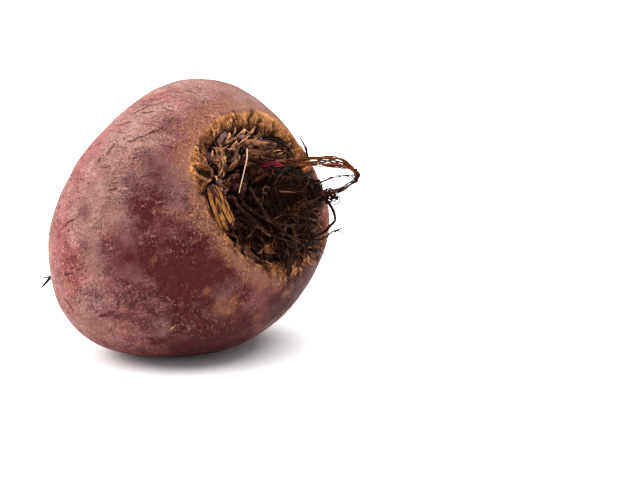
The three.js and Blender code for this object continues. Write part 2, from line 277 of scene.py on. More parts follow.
def as_mesh(name, bm):
    """The modelled form as a new mesh; the form itself is let go."""
    mesh = bpy.data.meshes.new(name)
    bm.to_mesh(mesh)
    bm.free()
    return mesh


def finish_piece(name, mesh, material, node_name):
    """Makes the named object, gives it its finish and hangs it on the frame."""
    mesh.name = name
    mesh.materials.append(material)
    mesh.shade_smooth()
    piece = bpy.data.objects.new(name, mesh)
    bpy.context.scene.collection.objects.link(piece)
    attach(piece, BODY)
    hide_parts(node_name)


def set_places(mesh, points):
    """Moves the mesh's points, all at once."""
    mesh.vertices.foreach_set("co", np.ascontiguousarray(points, np.float32).ravel())
    mesh.update()


def get_places(mesh):
    """The mesh's points as rows of x, y and z."""
    places = np.zeros(len(mesh.vertices) * 3, np.float32)
    mesh.vertices.foreach_get("co", places)
    return places.reshape(-1, 3).astype(float)


def store(mesh, name, values):
    """Keeps a number, or a vector, for each point of the mesh, for its material to read."""
    values = np.asarray(values, np.float32)
    if values.ndim == 2:
        mesh.attributes.new(name, "FLOAT_VECTOR", "POINT").data.foreach_set("vector", values.ravel())
    else:
        mesh.attributes.new(name, "FLOAT", "POINT").data.foreach_set("value", values)


def rod_template(sides, steps):
    """A straight closed rod of radius 1 from z = 0 to z = 1."""
    bm = bmesh.new()
    bmesh.ops.create_cone(bm, cap_ends=True, segments=sides, radius1=1, radius2=1, depth=1)
    lengthwise = [e for e in bm.edges if abs(e.verts[0].co.z - e.verts[1].co.z) > 0.5]
    bmesh.ops.subdivide_edges(bm, edges=lengthwise, cuts=steps - 1, use_grid_fill=True)
    bmesh.ops.translate(bm, verts=bm.verts, vec=(0, 0, 0.5))
    return bm


def slab_template(across, along):
    """A closed thin slab: x from -1 to 1 across, z from 0 to 1 along, y -1 inside and 1 outside."""
    bm = bmesh.new()
    bmesh.ops.create_grid(bm, x_segments=across, y_segments=along, size=1)
    bmesh.ops.solidify(bm, geom=bm.faces[:], thickness=0.1)
    bmesh.ops.recalc_face_normals(bm, faces=bm.faces[:])
    heights = [v.co.z for v in bm.verts]
    middle = (min(heights) + max(heights)) / 2
    for v in bm.verts:
        v.co = Vector((v.co.x, -1 if v.co.z > middle else 1, (v.co.y + 1) / 2))
    bmesh.ops.recalc_face_normals(bm, faces=bm.faces[:])
    return bm


def repeated(template, places, **attributes):
    """One mesh of a copy of the template for each row of places, with per-point attributes."""
    one = as_mesh("template", template)
    whole = bmesh.new()
    for _ in places:
        whole.from_mesh(one)
    mesh = as_mesh("repeated", whole)
    bpy.data.meshes.remove(one)
    set_places(mesh, lay(np.concatenate(places)))
    for name, values in attributes.items():
        store(mesh, name, np.concatenate(values))
    return mesh


def lengths_along(path):
    """How far along the path each of its points lies."""
    return np.concatenate([[0], np.cumsum(np.linalg.norm(np.diff(path, axis=0), axis=1))])


def even_path(points, samples=40):
    """The smooth curve through the points as evenly spaced samples."""
    fine = spline(np.array(points, float), np.linspace(0, 1, 6 * samples))
    length = lengths_along(fine)
    even = np.linspace(0, length[-1], samples)
    return np.stack([np.interp(even, length, fine[:, k]) for k in range(3)], 1)


UNTURNED = (0.31, 0.83, 0.46)  # where a round piece's side looks at its start


def bend_along(template, points, half_width, half_thick=None, facing=None):
    """Bends a rod or slab along the curve through the points; its broad side turns to facing, if given."""
    half_thick = half_thick or half_width
    path = even_path(points)
    tangent = unit(np.gradient(path, axis=0))
    side = unit(np.cross(tangent, UNTURNED if facing is None else facing))
    if facing is None:
        for k in range(1, len(side)):
            side[k] = unit(side[k - 1] - tangent[k] * (side[k - 1] @ tangent[k]))
    up = np.cross(side, tangent)
    share = template[:, 2]
    place = share * (len(path) - 1)

    def along(values):
        return np.stack([np.interp(place, range(len(path)), values[:, k]) for k in range(3)], 1)

    across = along(side) * (template[:, 0] * half_width(share))[:, None]
    through = along(up) * (template[:, 1] * half_thick(share))[:, None]
    return along(path) + across + through


# ---- Finishes ----

def per(millimetres):
    """The scale at which a pattern's lumps are this many millimetres across."""
    return 1 / (millimetres * MM)


def feed(node, inputs):
    """Sets a node's inputs, by name or in order, to plain values, or links them to nodes or sockets."""
    tree = node.id_data
    for name, value in inputs.items() if isinstance(inputs, dict) else enumerate(inputs):
        socket = node.inputs[name] if isinstance(name, int) else next(
            s for s in node.inputs if s.enabled and s.name == name)
        if isinstance(value, bpy.types.Node):
            value = next(s for s in value.outputs if s.enabled)
        if isinstance(value, bpy.types.NodeSocket):
            tree.links.new(value, socket)
        elif socket.type == "RGBA":
            socket.default_value = (*value, 1)
        else:
            socket.default_value = value


def add(tree, kind, inputs=(), stops=(), **settings):
    """Adds a node with its settings and what feeds it; stops are a colour ramp's places and values."""
    made = tree.nodes.new("ShaderNode" + kind)
    for name, value in settings.items():
        setattr(made, name, value)
    for k, (place, value) in enumerate(stops):
        ramp = made.color_ramp.elements
        stop = ramp[k] if k < len(ramp) else ramp.new(place)
        stop.position = place
        stop.color = (value, value, value, 1) if isinstance(value, (int, float)) else (*value, 1)
    feed(made, inputs)
    return made


def new_finish(name):
    """A material with only its shader, and that shader's tree."""
    material = bpy.data.materials.new(name)
    material.use_nodes = True
    tree = material.node_tree
    tree.nodes.clear()
    shader = add(tree, "BsdfPrincipled")
    add(tree, "OutputMaterial", {"Surface": shader})
    return material, tree, shader


# Scratches and healed cracks in the skin: start and end in the crown frame, and half width.
SCRATCHES = [
    ((-30.8, 24.3, 20), (-23.1, 25.4, 26.5), 0.45), ((-35.3, 22.4, 14.3), (-32.8, 24.5, 15.8), 0.5),
    ((-44.6, 5.7, -2.8), (-44.8, 7.1, 4.2), 0.5), ((-44.7, -5.1, -8.8), (-44.5, -10.2, -8.8), 0.4),
    ((-43.2, -14.1, -10.5), (-42.8, -17.4, -8.6), 0.6), ((-42.4, -17.4, 11), (-41.5, -20.6, 8.7), 0.5),
    ((-42.3, -21.6, 0.6), (-41.4, -22, 6.3), 0.3), ((-40.5, -20.4, 12.5), (-39.5, -20.1, 15.2), 0.3),
    ((-29.6, -31.5, 15.9), (-24.7, -33, 19.2), 0.5), ((-32.1, -18, 26), (-31.2, -21, 25.1), 0.2),
    ((-22, 32.8, 15.6), (-19.6, 33.4, 17.9), 0.4), ((-19.3, 33.6, 17.7), (-16.1, 33.7, 20.9), 0.4),
    ((-26.5, 30.4, 13.2), (-25.6, 30.3, 16.6), 0.35), ((-15.7, 35.5, 16.9), (-14.4, 34.9, 19.7), 0.35),
    ((-12.4, 36.4, 17.9), (-8.6, 37.3, 18.4), 0.3), ((-37.4, 20.6, 11), (-36.2, 21.9, 11.9), 0.5),
    ((7.2, 35.1, 24), (8.9, 33.3, 25.6), 0.3), ((-19.8, 27.2, 27), (-20.7, 25.3, 28), 0.35),
    ((-21.7, 32.1, 18.4), (-20.1, 31.6, 21.2), 0.35), ((38, 14, 10), (35, 18, 13), 0.4),
    ((41, -12, -2), (42, -9, 3), 0.4), ((12, 38, -6), (16, 36.5, -3), 0.45),
    ((-42.5, -17.2, 11.2), (-41.3, -21, 9.1), 0.55), ((-43.3, -14, -10.3), (-43, -17.3, -8.1), 0.6),
    ((-46.2, -6.2, -3.3), (-46, -9.5, -3.1), 0.5), ((-29.6, -31, 16.9), (-26.2, -32.7, 18.2), 0.55),
    ((-40.5, -20.3, 12.8), (-39.4, -20.9, 14.5), 0.35), ((-42.3, -21.6, 1), (-41.7, -21.2, 7), 0.35),
    ((-30.4, -25.1, 22.9), (-29, -25.8, 23.5), 0.3), ((-22.9, -35.6, 15.9), (-21.3, -36.2, 16.2), 0.4),
    ((-31.9, -19.2, 25.6), (-31.2, -21.3, 24.9), 0.25),
]

# Patches of the skin: middle in the crown frame, radius and strength. Plum ones are thin skin over dark
# flesh, and on the lower front and lower right flanks also painted shade, away from the light; stained ones
# are ochre earth, dashed ones hold most of the short dark dashes.
PLUM_AND_SHADE_PATCHES = [
    ((-30, -17, 26), 21, 1), ((-15, -35, 14), 21, 1), ((14, 36, -4), 15, 0.5),
    ((34, -6, -14), 18, 0.6), ((36, 14, 18), 10, 0.5), ((-34, 8, 26), 9, 0.75),
    ((16, -38, 4), 18, 0.8), ((2, -20, -30), 14, 0.6),
    ((-30.8, 13.7, 28.1), 4.5, 0.6), ((-35.7, 6.9, 26), 6, 0.75), ((-42.9, -6.8, 16.9), 8, 0.7),
    ((-37.4, 0, 25.2), 6.5, 0.7), ((-41.5, -0.3, 20), 4.5, 0.5), ((-30.7, -2, 30.7), 6.5, 0.45),
    ((-34, -17.5, 24.5), 11, 0.6), ((-4.7, -24.8, 32.6), 3, 0.8), ((-12.8, -34.8, 23.5), 9, 0.6),
    ((-10.7, 26.4, 30.9), 3.5, 0.5), ((-20.4, 26, 27.6), 4.5, 0.5), ((-44.2, 7.8, 8.8), 3, 0.5),
    ((-26, -32, 16), 8, 0.5), ((-39, 14, 18), 3.5, 0.4), ((20, 30, 14), 9, 0.5),
    ((38, -8, 16), 8, 0.6), ((30, 22, -20), 10, 0.6), ((34, -24, 4), 9, 0.5),
    ((-10, 34, -22), 9, 0.6), ((0, -36, -8), 11, 0.5),
    ((-31.3, 17, 26), 6, 0.6), ((-14.4, -25.1, 31.2), 6, 0.8), ((19.7, -24.2, 28), 10, 0.9),
    ((-42.2, -16.8, 12.6), 7, 0.6), ((-1.3, -29.9, 29.3), 6, 0.8), ((-2.4, -34.9, 24.4), 9, 0.6),
    ((8.7, -28.5, 28.6), 11, 1.2), ((-11.5, -33.4, 25.5), 8, 0.8), ((-35.3, 4.7, 26), 8, 0.9),
    ((-26, -8.6, 32.6), 5, 0.6), ((-37.8, -8, 24), 9, 0.9), ((-22.9, -33.2, 20.3), 8, 0.9),
    ((-35.3, -27, 14.3), 9, 0.7), ((0.5, -32.8, 26.5), 8, 0.8),
]
STAINS = [
    ((-18.9, -28, 28.1), 4.6, 0.8), ((-24.9, -22.2, 28.8), 1.6, 0.9), ((-5.2, -33.6, 26), 2.6, 0.7),
    ((-33.7, 2.4, 28.5), 2, 0.6), ((-45.5, -10.2, -5.3), 4, 0.7), ((-37.2, -9.6, 24.3), 1.4, 0.7),
    ((5.5, -28.1, 29.7), 4, 0.6), ((30, 16, 22), 3.5, 0.6), ((26, -28, -8), 5, 0.6),
    ((-16, 30, -20), 4, 0.6), ((-23.8, 0.5, 33.8), 4.5, 0.8), ((-20.5, -9.5, 33.8), 3.5, 0.7),
]
DASHED_PATCHES = [
    ((-26, 28, 19), 13, 1), ((-12, 34, 21), 9, 0.7), ((-44, 6, 4), 12, 0.5),
    ((-43, -16, -6), 9, 0.7), ((-18, 22, 31), 7, 0.5), ((24, 30, 8), 12, 0.6),
    ((30, -24, 10), 12, 0.5), ((0, 40, -8), 12, 0.6), ((-42.6, -19, 7.7), 9, 0.9),
    ((-36.4, -24.4, 16.2), 8, 0.8), ((-27.4, -28.4, 22.4), 7, 0.5), ((-35.6, -29.9, 4.5), 9, 0.7),
    ((-45.6, -6, -4), 9, 0.9), ((-4.7, 38.1, 18.2), 10, 0.8), ((-35.7, 22.4, 3.9), 9, 0.7),
    ((-25, -1, 33), 7, 1),
]


def marks(tree, place, size, rare, wide, crisp):
    """Small marks in some cells of a pattern: how large its cells are, how rare, wide and crisp the marks."""
    cells = add(tree, "TexVoronoi", {"Vector": place, "Scale": per(size)})
    chosen = add(tree, "SeparateColor", (cells.outputs["Color"],))
    width = add(tree, "MapRange", (chosen, rare, 1, 0, wide))
    mark = add(tree, "Math", (width, cells), operation="SUBTRACT")
    return add(tree, "Math", (mark, crisp), operation="MULTIPLY", use_clamp=True)


def skin_finish(settings):
    """Beetroot skin: thin corky periderm that grew in soil and was brushed clean.

    The eye gets a dull, dusty purple-red with earth left in its pores, fine streaks from crown to tail,
    and a dry tan collar with dark radial cracks.
    """
    material, tree, shader = new_finish("brushed_beetroot_skin")
    place = add(tree, "TexCoord").outputs["Object"]
    grain = add(tree, "Attribute", attribute_name="grain").outputs["Vector"]
    worn = {name: add(tree, "Attribute", attribute_name=name).outputs["Fac"] for name in SKIN_SHARES}

    broad, ruddy, mottle, fleck, grit, sand, wander, gathered = (
        add(tree, "TexNoise", {"Vector": place, "Scale": per(size), "Detail": detail, "Roughness": roughness,
                               "Distortion": distortion})
        for size, detail, roughness, distortion in (
            (22, 5, 0.6, 0), (12, 5, 0.62, 0.6), (7, 7, 0.74, 0), (2.2, 4, 0.7, 0), (0.7, 3, 0.7, 0),
            (0.38, 2, 0.8, 0), (5, 2, 0.5, 0), (13, 3, 0.6, 0)))

    # Plum where the skin is thin over dark flesh, and painted shade where plum patches lie on the lower front
    # and lower right flanks; redder in patches, paler where it is dusty.
    thin = add(tree, "Math", (mottle, 1.4, -0.62), operation="MULTIPLY_ADD")
    thin = add(tree, "Math", (thin, worn["plum"]), operation="ADD", use_clamp=True)
    blushing = add(tree, "ValToRGB", (ruddy,), stops=[(0.46, 0), (0.62, 0.65)])
    dusty = add(tree, "ValToRGB", (broad,), stops=[(0.44, 0), (0.62, 0.6)])
    earthy = add(tree, "Math", (fleck, 3, -1.5), operation="MULTIPLY_ADD", use_clamp=True)
    earthy = add(tree, "Math", (earthy, 0.3), operation="MULTIPLY")

    # Ochre stains have a grainy edge.
    stain = add(tree, "Math", (fleck, 3.2, -2.1), operation="MULTIPLY_ADD")
    stain = add(tree, "Math", (worn["stain"], 1.5, stain), operation="MULTIPLY_ADD", use_clamp=True)
    stain = add(tree, "Math", (stain, 0.8), operation="MULTIPLY")

    # A film of dry earth round the collar.
    film = add(tree, "Math", (grit, 1.1, mottle), operation="MULTIPLY_ADD")
    film = add(tree, "Math", (film, 1.6, -2.2), operation="MULTIPLY_ADD")
    film = add(tree, "Math", (worn["film"], 1.5, film), operation="MULTIPLY_ADD", use_clamp=True)
    film = add(tree, "Math", (film, 0.8), operation="MULTIPLY")

    # Short dark dashes and pale flakes, scattered along the run from crown to tail.
    wander = add(tree, "VectorMath", {0: wander.outputs["Color"], "Scale": 1.2 * MM}, operation="SCALE")
    drifted = add(tree, "VectorMath", (grain, wander), operation="ADD")
    gathered = add(tree, "Math", (worn["dashes"], 0.3, gathered), operation="MULTIPLY_ADD")
    gathered = add(tree, "ValToRGB", (gathered,), stops=[(0.42, 0.15), (0.62, 1)])
    dash = 0
    for stretch, size, rare, wide in ((0.07, 0.62, 0.2, 0.32), (0.15, 0.5, 0.35, 0.28)):
        combed = add(tree, "Mapping", {"Vector": drifted, "Scale": (1, 1, stretch)})
        dash = add(tree, "Math", (marks(tree, combed, size, rare, wide, 12), dash), operation="MAXIMUM")
    dash = add(tree, "Math", (dash, gathered), operation="MULTIPLY")
    peeling = add(tree, "MapRange", (fleck, 0.42, 0.66, 0, 0.6))
    flake = add(tree, "Math", (marks(tree, combed, 0.8, 0.5, 0.36, 5), peeling), operation="MULTIPLY")
    where = add(tree, "Math", (gathered, 1.3, 0.2), operation="MULTIPLY_ADD")
    flake = add(tree, "Math", (flake, where), operation="MULTIPLY", use_clamp=True)
    dusting = add(tree, "Math", (fleck, grit), operation="ADD")
    dusting = add(tree, "MapRange", (dusting, 1.06, 1.3, 0, 0.34))
    dusting = add(tree, "Math", (dusting, gathered), operation="MULTIPLY")
    flake = add(tree, "Math", (flake, dusting), operation="MAXIMUM")

    # The longer scratches, each the nearness to its own line, which is shifted by the noise's average.
    ragged = add(tree, "VectorMath", {0: fleck.outputs["Color"], "Scale": 1.8 * MM}, operation="SCALE")
    ragged = add(tree, "VectorMath", (place, ragged), operation="ADD")
    shift = Vector((0.9, 0.9, 0.9)) * MM
    broken = add(tree, "MapRange", (grit, 0.3, 0.44))
    for start, end, half_width in SCRATCHES:
        start = LAID @ Vector(start) + shift
        run = LAID @ Vector(end) + shift - start
        apart = add(tree, "VectorMath", (ragged, start), operation="SUBTRACT")
        along = add(tree, "VectorMath", (apart, run / run.length_squared), operation="DOT_PRODUCT")
        along = add(tree, "Clamp", (along.outputs["Value"],))
        nearest = add(tree, "VectorMath", {0: run, "Scale": along}, operation="SCALE")
        apart = add(tree, "VectorMath", (apart, nearest), operation="DISTANCE").outputs["Value"]
        cut = add(tree, "MapRange", (apart, 1.25 * half_width * MM, 0.2 * MM, 0, 0.9))
        cut = add(tree, "Math", (cut, broken), operation="MULTIPLY")
        dash = add(tree, "Math", (dash, cut), operation="MAXIMUM")

    # The corky collar: tan and crumbly outside, darker brown down its inner slope, with painted shade
    # between its crumbs and painted highlight on their tops and in a pale lip along its crest.
    inner = add(tree, "Math", (mottle, 3, -1.6), operation="MULTIPLY_ADD")
    inner = add(tree, "Math", (worn["wall"], inner), operation="ADD", use_clamp=True)
    rough = add(tree, "Math", (fleck, 1.35, 0.15), operation="MULTIPLY_ADD")
    rough = add(tree, "Math", (grit, 0.85, rough), operation="MULTIPLY_ADD")
    # Painted shade where the crumbs' relief is low and painted highlight where it is high.
    dark = add(tree, "MapRange", (rough, 1.25, 1.05, 0, 0.9))
    light = add(tree, "MapRange", (rough, 1.33, 1.5, 0, 0.9))
    # The pale lip is painted highlight along the crest.
    lip = add(tree, "Math", (worn["lip"], fleck), operation="MULTIPLY", use_clamp=True)
    cork = add(tree, "Math", (fleck, 2.4, -1.2), operation="MULTIPLY_ADD")
    cork = add(tree, "Math", (worn["cork"], 2.6, cork), operation="MULTIPLY_ADD")
    cork = add(tree, "Math", (cork, -0.8), operation="ADD", use_clamp=True)

    # Each colour lies over the ones before it.
    corky = settings.cork
    for share, over in ((inner, settings.cork_wall), (dark, settings.cork_crevice_shade), (light, settings.cork_highlight),
                        (lip, settings.cork_highlight)):
        corky = add(tree, "Mix", {"Factor": share, "A": corky, "B": over}, data_type="RGBA")
    colour = settings.rose
    for share, over in ((blushing, settings.blush), (dusty, settings.dusty), (earthy, settings.earth),
                        (thin, settings.plum), (stain, settings.ochre), (film, settings.earth),
                        (flake, settings.flakes), (dash, settings.scratch), (cork, corky)):
        colour = add(tree, "Mix", {"Factor": share, "A": colour, "B": over}, data_type="RGBA")

    # Grit in the pores darkens and lightens it everywhere.
    drawn = add(tree, "Mapping", {"Vector": drifted, "Scale": (1, 1, 0.2)})
    drawn = add(tree, "TexNoise", {"Vector": drawn, "Scale": per(0.8), "Detail": 3, "Roughness": 0.65})
    drawn = add(tree, "Mix", {"Factor": worn["film"], "A": drawn, "B": grit})
    speckle = add(tree, "Math", (sand, 3, drawn), operation="MULTIPLY_ADD")
    speckle = add(tree, "Math", (grit, 1.6, speckle), operation="MULTIPLY_ADD")
    speckle = add(tree, "MapRange", (speckle, 2.3, 3.3, 0.3, 1.75))
    even = add(tree, "Math", (gathered, -0.7, 0.75), operation="MULTIPLY_ADD")
    even = add(tree, "Math", (film, 0.2, even), operation="MULTIPLY_ADD", use_clamp=True)
    speckle = add(tree, "Mix", {"Factor": even, "A": speckle, "B": 1})
    colour = add(tree, "VectorMath", {0: colour, "Scale": speckle}, operation="SCALE")
    hole = add(tree, "Math", (marks(tree, place, 1.5, 0.86, 0.22, 10), worn["crack"]), operation="MAXIMUM")
    colour = add(tree, "Mix", {"Factor": hole, "A": colour, "B": settings.crack}, data_type="RGBA")

    # Patchy gloss: the skin is dull where it is dusty and has a low shine where it was rubbed.
    gloss = add(tree, "MapRange", (mottle, 0.35, 0.65, 0.44, 0.62))
    dry = add(tree, "Math", (film, cork), operation="MAXIMUM")
    gloss = add(tree, "Math", (dry, 0.3, gloss), operation="MULTIPLY_ADD")
    height = add(tree, "Math", (rough, cork, grit), operation="MULTIPLY_ADD")
    height = add(tree, "Math", (flake, 0.5, height), operation="MULTIPLY_ADD")
    height = add(tree, "Math", (height, hole), operation="SUBTRACT")
    height = add(tree, "Math", (dash, -0.8, height), operation="MULTIPLY_ADD")
    bump = add(tree, "Bump", {"Height": height, "Strength": 0.8, "Distance": 0.22 * MM})
    feed(shader, {"Base Color": colour, "Roughness": gloss, "Normal": bump, "IOR": 1.45,
                  "Specular IOR Level": 0.04, "Sheen Weight": 0.015, "Sheen Roughness": 0.4,
                  "Sheen Tint": linear("#e0cdc8")})
    return material


def plant_finish(name, low, high, torn, gloss=0.6, torn_share=0.5, shine=0.15):
    """Dry plant tissue: dark low down, browner above, pale where it is torn, streaked along its length. Its
    pale colour also paints highlights: lines on the golden stalk bases and upper edges of the fleshy ones.

    Each piece keeps its own shade, the height along it and a flat strip of coordinates in its points.
    """
    material, tree, shader = new_finish(name)
    shade, along, strip = (add(tree, "Attribute", attribute_name=name).outputs[kind]
                           for name, kind in (("shade", "Fac"), ("along", "Fac"), ("strip", "Vector")))
    place = add(tree, "TexCoord").outputs["Object"]
    streaks = add(tree, "TexNoise", {"Vector": strip, "Scale": per(0.45), "Detail": 3.0, "Roughness": 0.6})
    patches = add(tree, "TexNoise", {"Vector": place, "Scale": per(1.3), "Detail": 4.0, "Roughness": 0.7})
    uneven = add(tree, "Math", (streaks, patches), operation="ADD")
    mixed = add(tree, "Math", (uneven, 1.8, -1.8), operation="MULTIPLY_ADD")
    mixed = add(tree, "Math", (mixed, shade), operation="ADD", use_clamp=True)
    frayed = add(tree, "Math", (uneven, 1.6, torn_share - 2.6), operation="MULTIPLY_ADD")
    frayed = add(tree, "Math", (along, 1.6, frayed), operation="MULTIPLY_ADD", use_clamp=True)
    colour = low
    for share, over in ((mixed, high), (frayed, torn)):
        colour = add(tree, "Mix", {"Factor": share, "A": colour, "B": over}, data_type="RGBA")
    bump = add(tree, "Bump", {"Height": uneven, "Strength": 0.8, "Distance": 0.16 * MM})
    feed(shader, {"Base Color": colour, "Roughness": gloss, "IOR": 1.42, "Specular IOR Level": shine,
                  "Specular Tint": linear("#c08a62"), "Normal": bump})
    return material


# ---- Sizes and colours that a user would change ----

def colour_setting(name, description, hex_colour):
    """A colour that a user can change."""
    return FloatVectorProperty(name=name, description=description, subtype="COLOR", size=3, min=0, max=1,
                               default=linear(hex_colour))


class BeetrootSkinSettings(bpy.types.PropertyGroup):
    """The skin's colours and relief."""
    rose: colour_setting("Rose", "Whole skin on the flanks", "#7a4a46")
    blush: colour_setting("Blush", "Redder patches of the whole skin", "#6d2c35")
    # The plum colour also paints shade on the lower front and lower right flanks, through the plum patches.
    plum: colour_setting("Plum", "Thin skin over dark flesh", "#3f161a")
    dusty: colour_setting("Dusty", "Skin with a bloom of fine dust", "#866b64")
    earth: colour_setting("Earth", "The film of earth round the collar", "#754e3a")
    ochre: colour_setting("Ochre", "Stains of ochre earth", "#774930")
    scratch: colour_setting("Scratches", "Scratches and healed cracks", "#3d1015")
    flakes: colour_setting("Flakes", "Thin flakes that peel off the skin", "#ad8068")
    cork: colour_setting("Cork", "The outside of the collar", "#8e5931")
    cork_wall: colour_setting("Inner cork", "The collar's inner slope", "#56311f")
    # Painted shade between the collar's crumbs.
    cork_crevice_shade: colour_setting("Dark cork", "The collar between its crumbs", "#2a1207")
    # Painted highlight on the collar's crumbs and along its crest.
    cork_highlight: colour_setting("Dry cork", "The collar's dry lip and crumbs", "#c48c5e")
    # On the dish's floor this near black is painted shade under the stalk bases.
    crack: colour_setting("Cracks", "Open cracks and the dish's floor", "#100705")
    unevenness: FloatProperty(name="Unevenness", description="Height of the skin's lumps in metres",
                              unit="LENGTH", default=0.35 * MM, min=0, max=2 * MM)


class BeetrootCrownSettings(bpy.types.PropertyGroup):
    """What stands in the dish."""
    stub_count: IntProperty(name="Stalk bases", description="Stalk bases in the leaf spiral", default=62,
                            min=8)
    torn_count: IntProperty(name="Torn edges", description="Thin torn walls of the stalk bases", default=64,
                            min=0)
    shred_count: IntProperty(name="Shreds", description="Torn fibres among the stalk bases", default=120,
                             min=0)
    fibre_count: IntProperty(name="Tangle fibres", description="Fibres in the tangle", default=460, min=20)
    fibre_thickness: FloatProperty(name="Fibre thickness", description="Diameter of a tangle fibre",
                                   unit="LENGTH", default=0.4 * MM, min=0.1 * MM, max=1 * MM)
    trailing_count: IntProperty(name="Trailing fibres", description="Fibres that trail over the stalk bases",
                                default=190, min=0)
    flesh: colour_setting("Dark flesh", "The stalk bases' own flesh", "#2e1317")
    flesh_light: colour_setting("Purple flesh", "Where that flesh catches the light", "#7a4a4e")
    # Partly dried tissue, partly painted highlight where the upper edges catch the light.
    flesh_dry_and_highlight: colour_setting("Dried flesh", "The dried upper edges of that flesh", "#93706a")
    stub_brown: colour_setting("Stalk brown", "The walls of the stalk bases", "#986240")
    stub_torn: colour_setting("Torn edge", "The torn upper edges", "#dba273")
    straw: colour_setting("Straw", "The pale straw", "#bfa283")
    scale_brown: colour_setting("Scale brown", "The dry scales", "#74462c")
    golden: colour_setting("Golden stalk", "The glossy stalk bases", "#9b6637")
    crimson: colour_setting("Crimson stalk", "The fresh stalk bases under the loop", "#8a1534")
    fibre_dark: colour_setting("Dark fibre", "The tangle's fibres", "#140a08")
    fibre_worn: colour_setting("Worn fibre", "Where the tangle's fibres are worn", "#684431")
    fibre_brown: colour_setting("Brown fibre", "The loop's fibres", "#703a1c")


class BeetrootStageSettings(bpy.types.PropertyGroup):
    """The floor and the light."""
    floor: colour_setting("Floor", "The plain pale floor", "#f7f6f7")
    overhead_strength: FloatProperty(name="Overhead light",
                                     description="Strength of the broad light from above", default=6.6, min=0)
    softbox_power: FloatProperty(name="Softbox", description="Power of the soft light on the left",
                                 unit="POWER", default=5.2, min=0)
    sky: FloatProperty(name="Surroundings", description="Strength of the white surroundings", default=0.66,
                       min=0)


# ---- The root ----

SKIN_SHARES = ("cork", "wall", "lip", "film", "crack", "plum", "stain", "dashes")


def run_from_crown(points):
    """How far each point of the round outline lies from the crown's middle, measured along the skin."""
    fine = spline(OUTLINE, np.linspace(0, 1, OUTLINE_SAMPLES))
    widest = fine[fine[:, 0].argmax()]
    length = lengths_along(fine)

    def order(radius, height):
        return np.where(height > widest[1], radius, widest[0]) - height

    return np.interp(order(np.hypot(points[:, 0], points[:, 1]), points[:, 2]), order(*fine.T), length)


def ring_shares(counts):
    """Shares of the outline for its rings: so many in each stretch between two of its points."""
    starts = [(stretch + ring / count) / len(counts)
              for stretch, count in enumerate(counts) for ring in range(count)]
    return np.array(starts + [1.0])


def patches_at(points, patches):
    """How strongly the nearest patch colours each point; its edge is uneven."""
    uneven = 1 + 0.5 * noise_at(points, 4.0, 3.0)
    found = np.zeros(len(points))
    for middle, radius, strength in patches:
        apart = np.linalg.norm(points - np.array(middle), axis=1) * uneven
        found = np.maximum(found, strength * bell(apart / radius) * 1.15)
    return found


def radial_cracks(angle, outside):
    """Depth share of the collar's radial cracks, which run down its inner slope."""
    depth = np.zeros(len(angle))
    for i in range(CRACK_COUNT):
        turn = 2 * math.pi * (i + 0.9 * scatter(i, 41)) / CRACK_COUNT
        inner = -6.6 + 3.2 * scatter(i, 42)
        outer = -3.0 + 4.4 * scatter(i, 43)
        width = (0.3 + 0.44 * scatter(i, 44) ** 2) / COLLAR_RADIUS
        wander = 0.03 * np.sin(0.9 * outside + 6 * scatter(i, 45))
        wander += 0.012 * np.sin(2.7 * outside + 9 * scatter(i, 47))
        apart = (angle - turn - wander + math.pi) % (2 * math.pi) - math.pi
        reach = smooth((outside - inner) / 1.2) * smooth((outer - outside) / 1.4)
        depth = np.maximum(depth, bell(apart / width) * reach * (0.9 + 0.6 * scatter(i, 46)))
    return depth


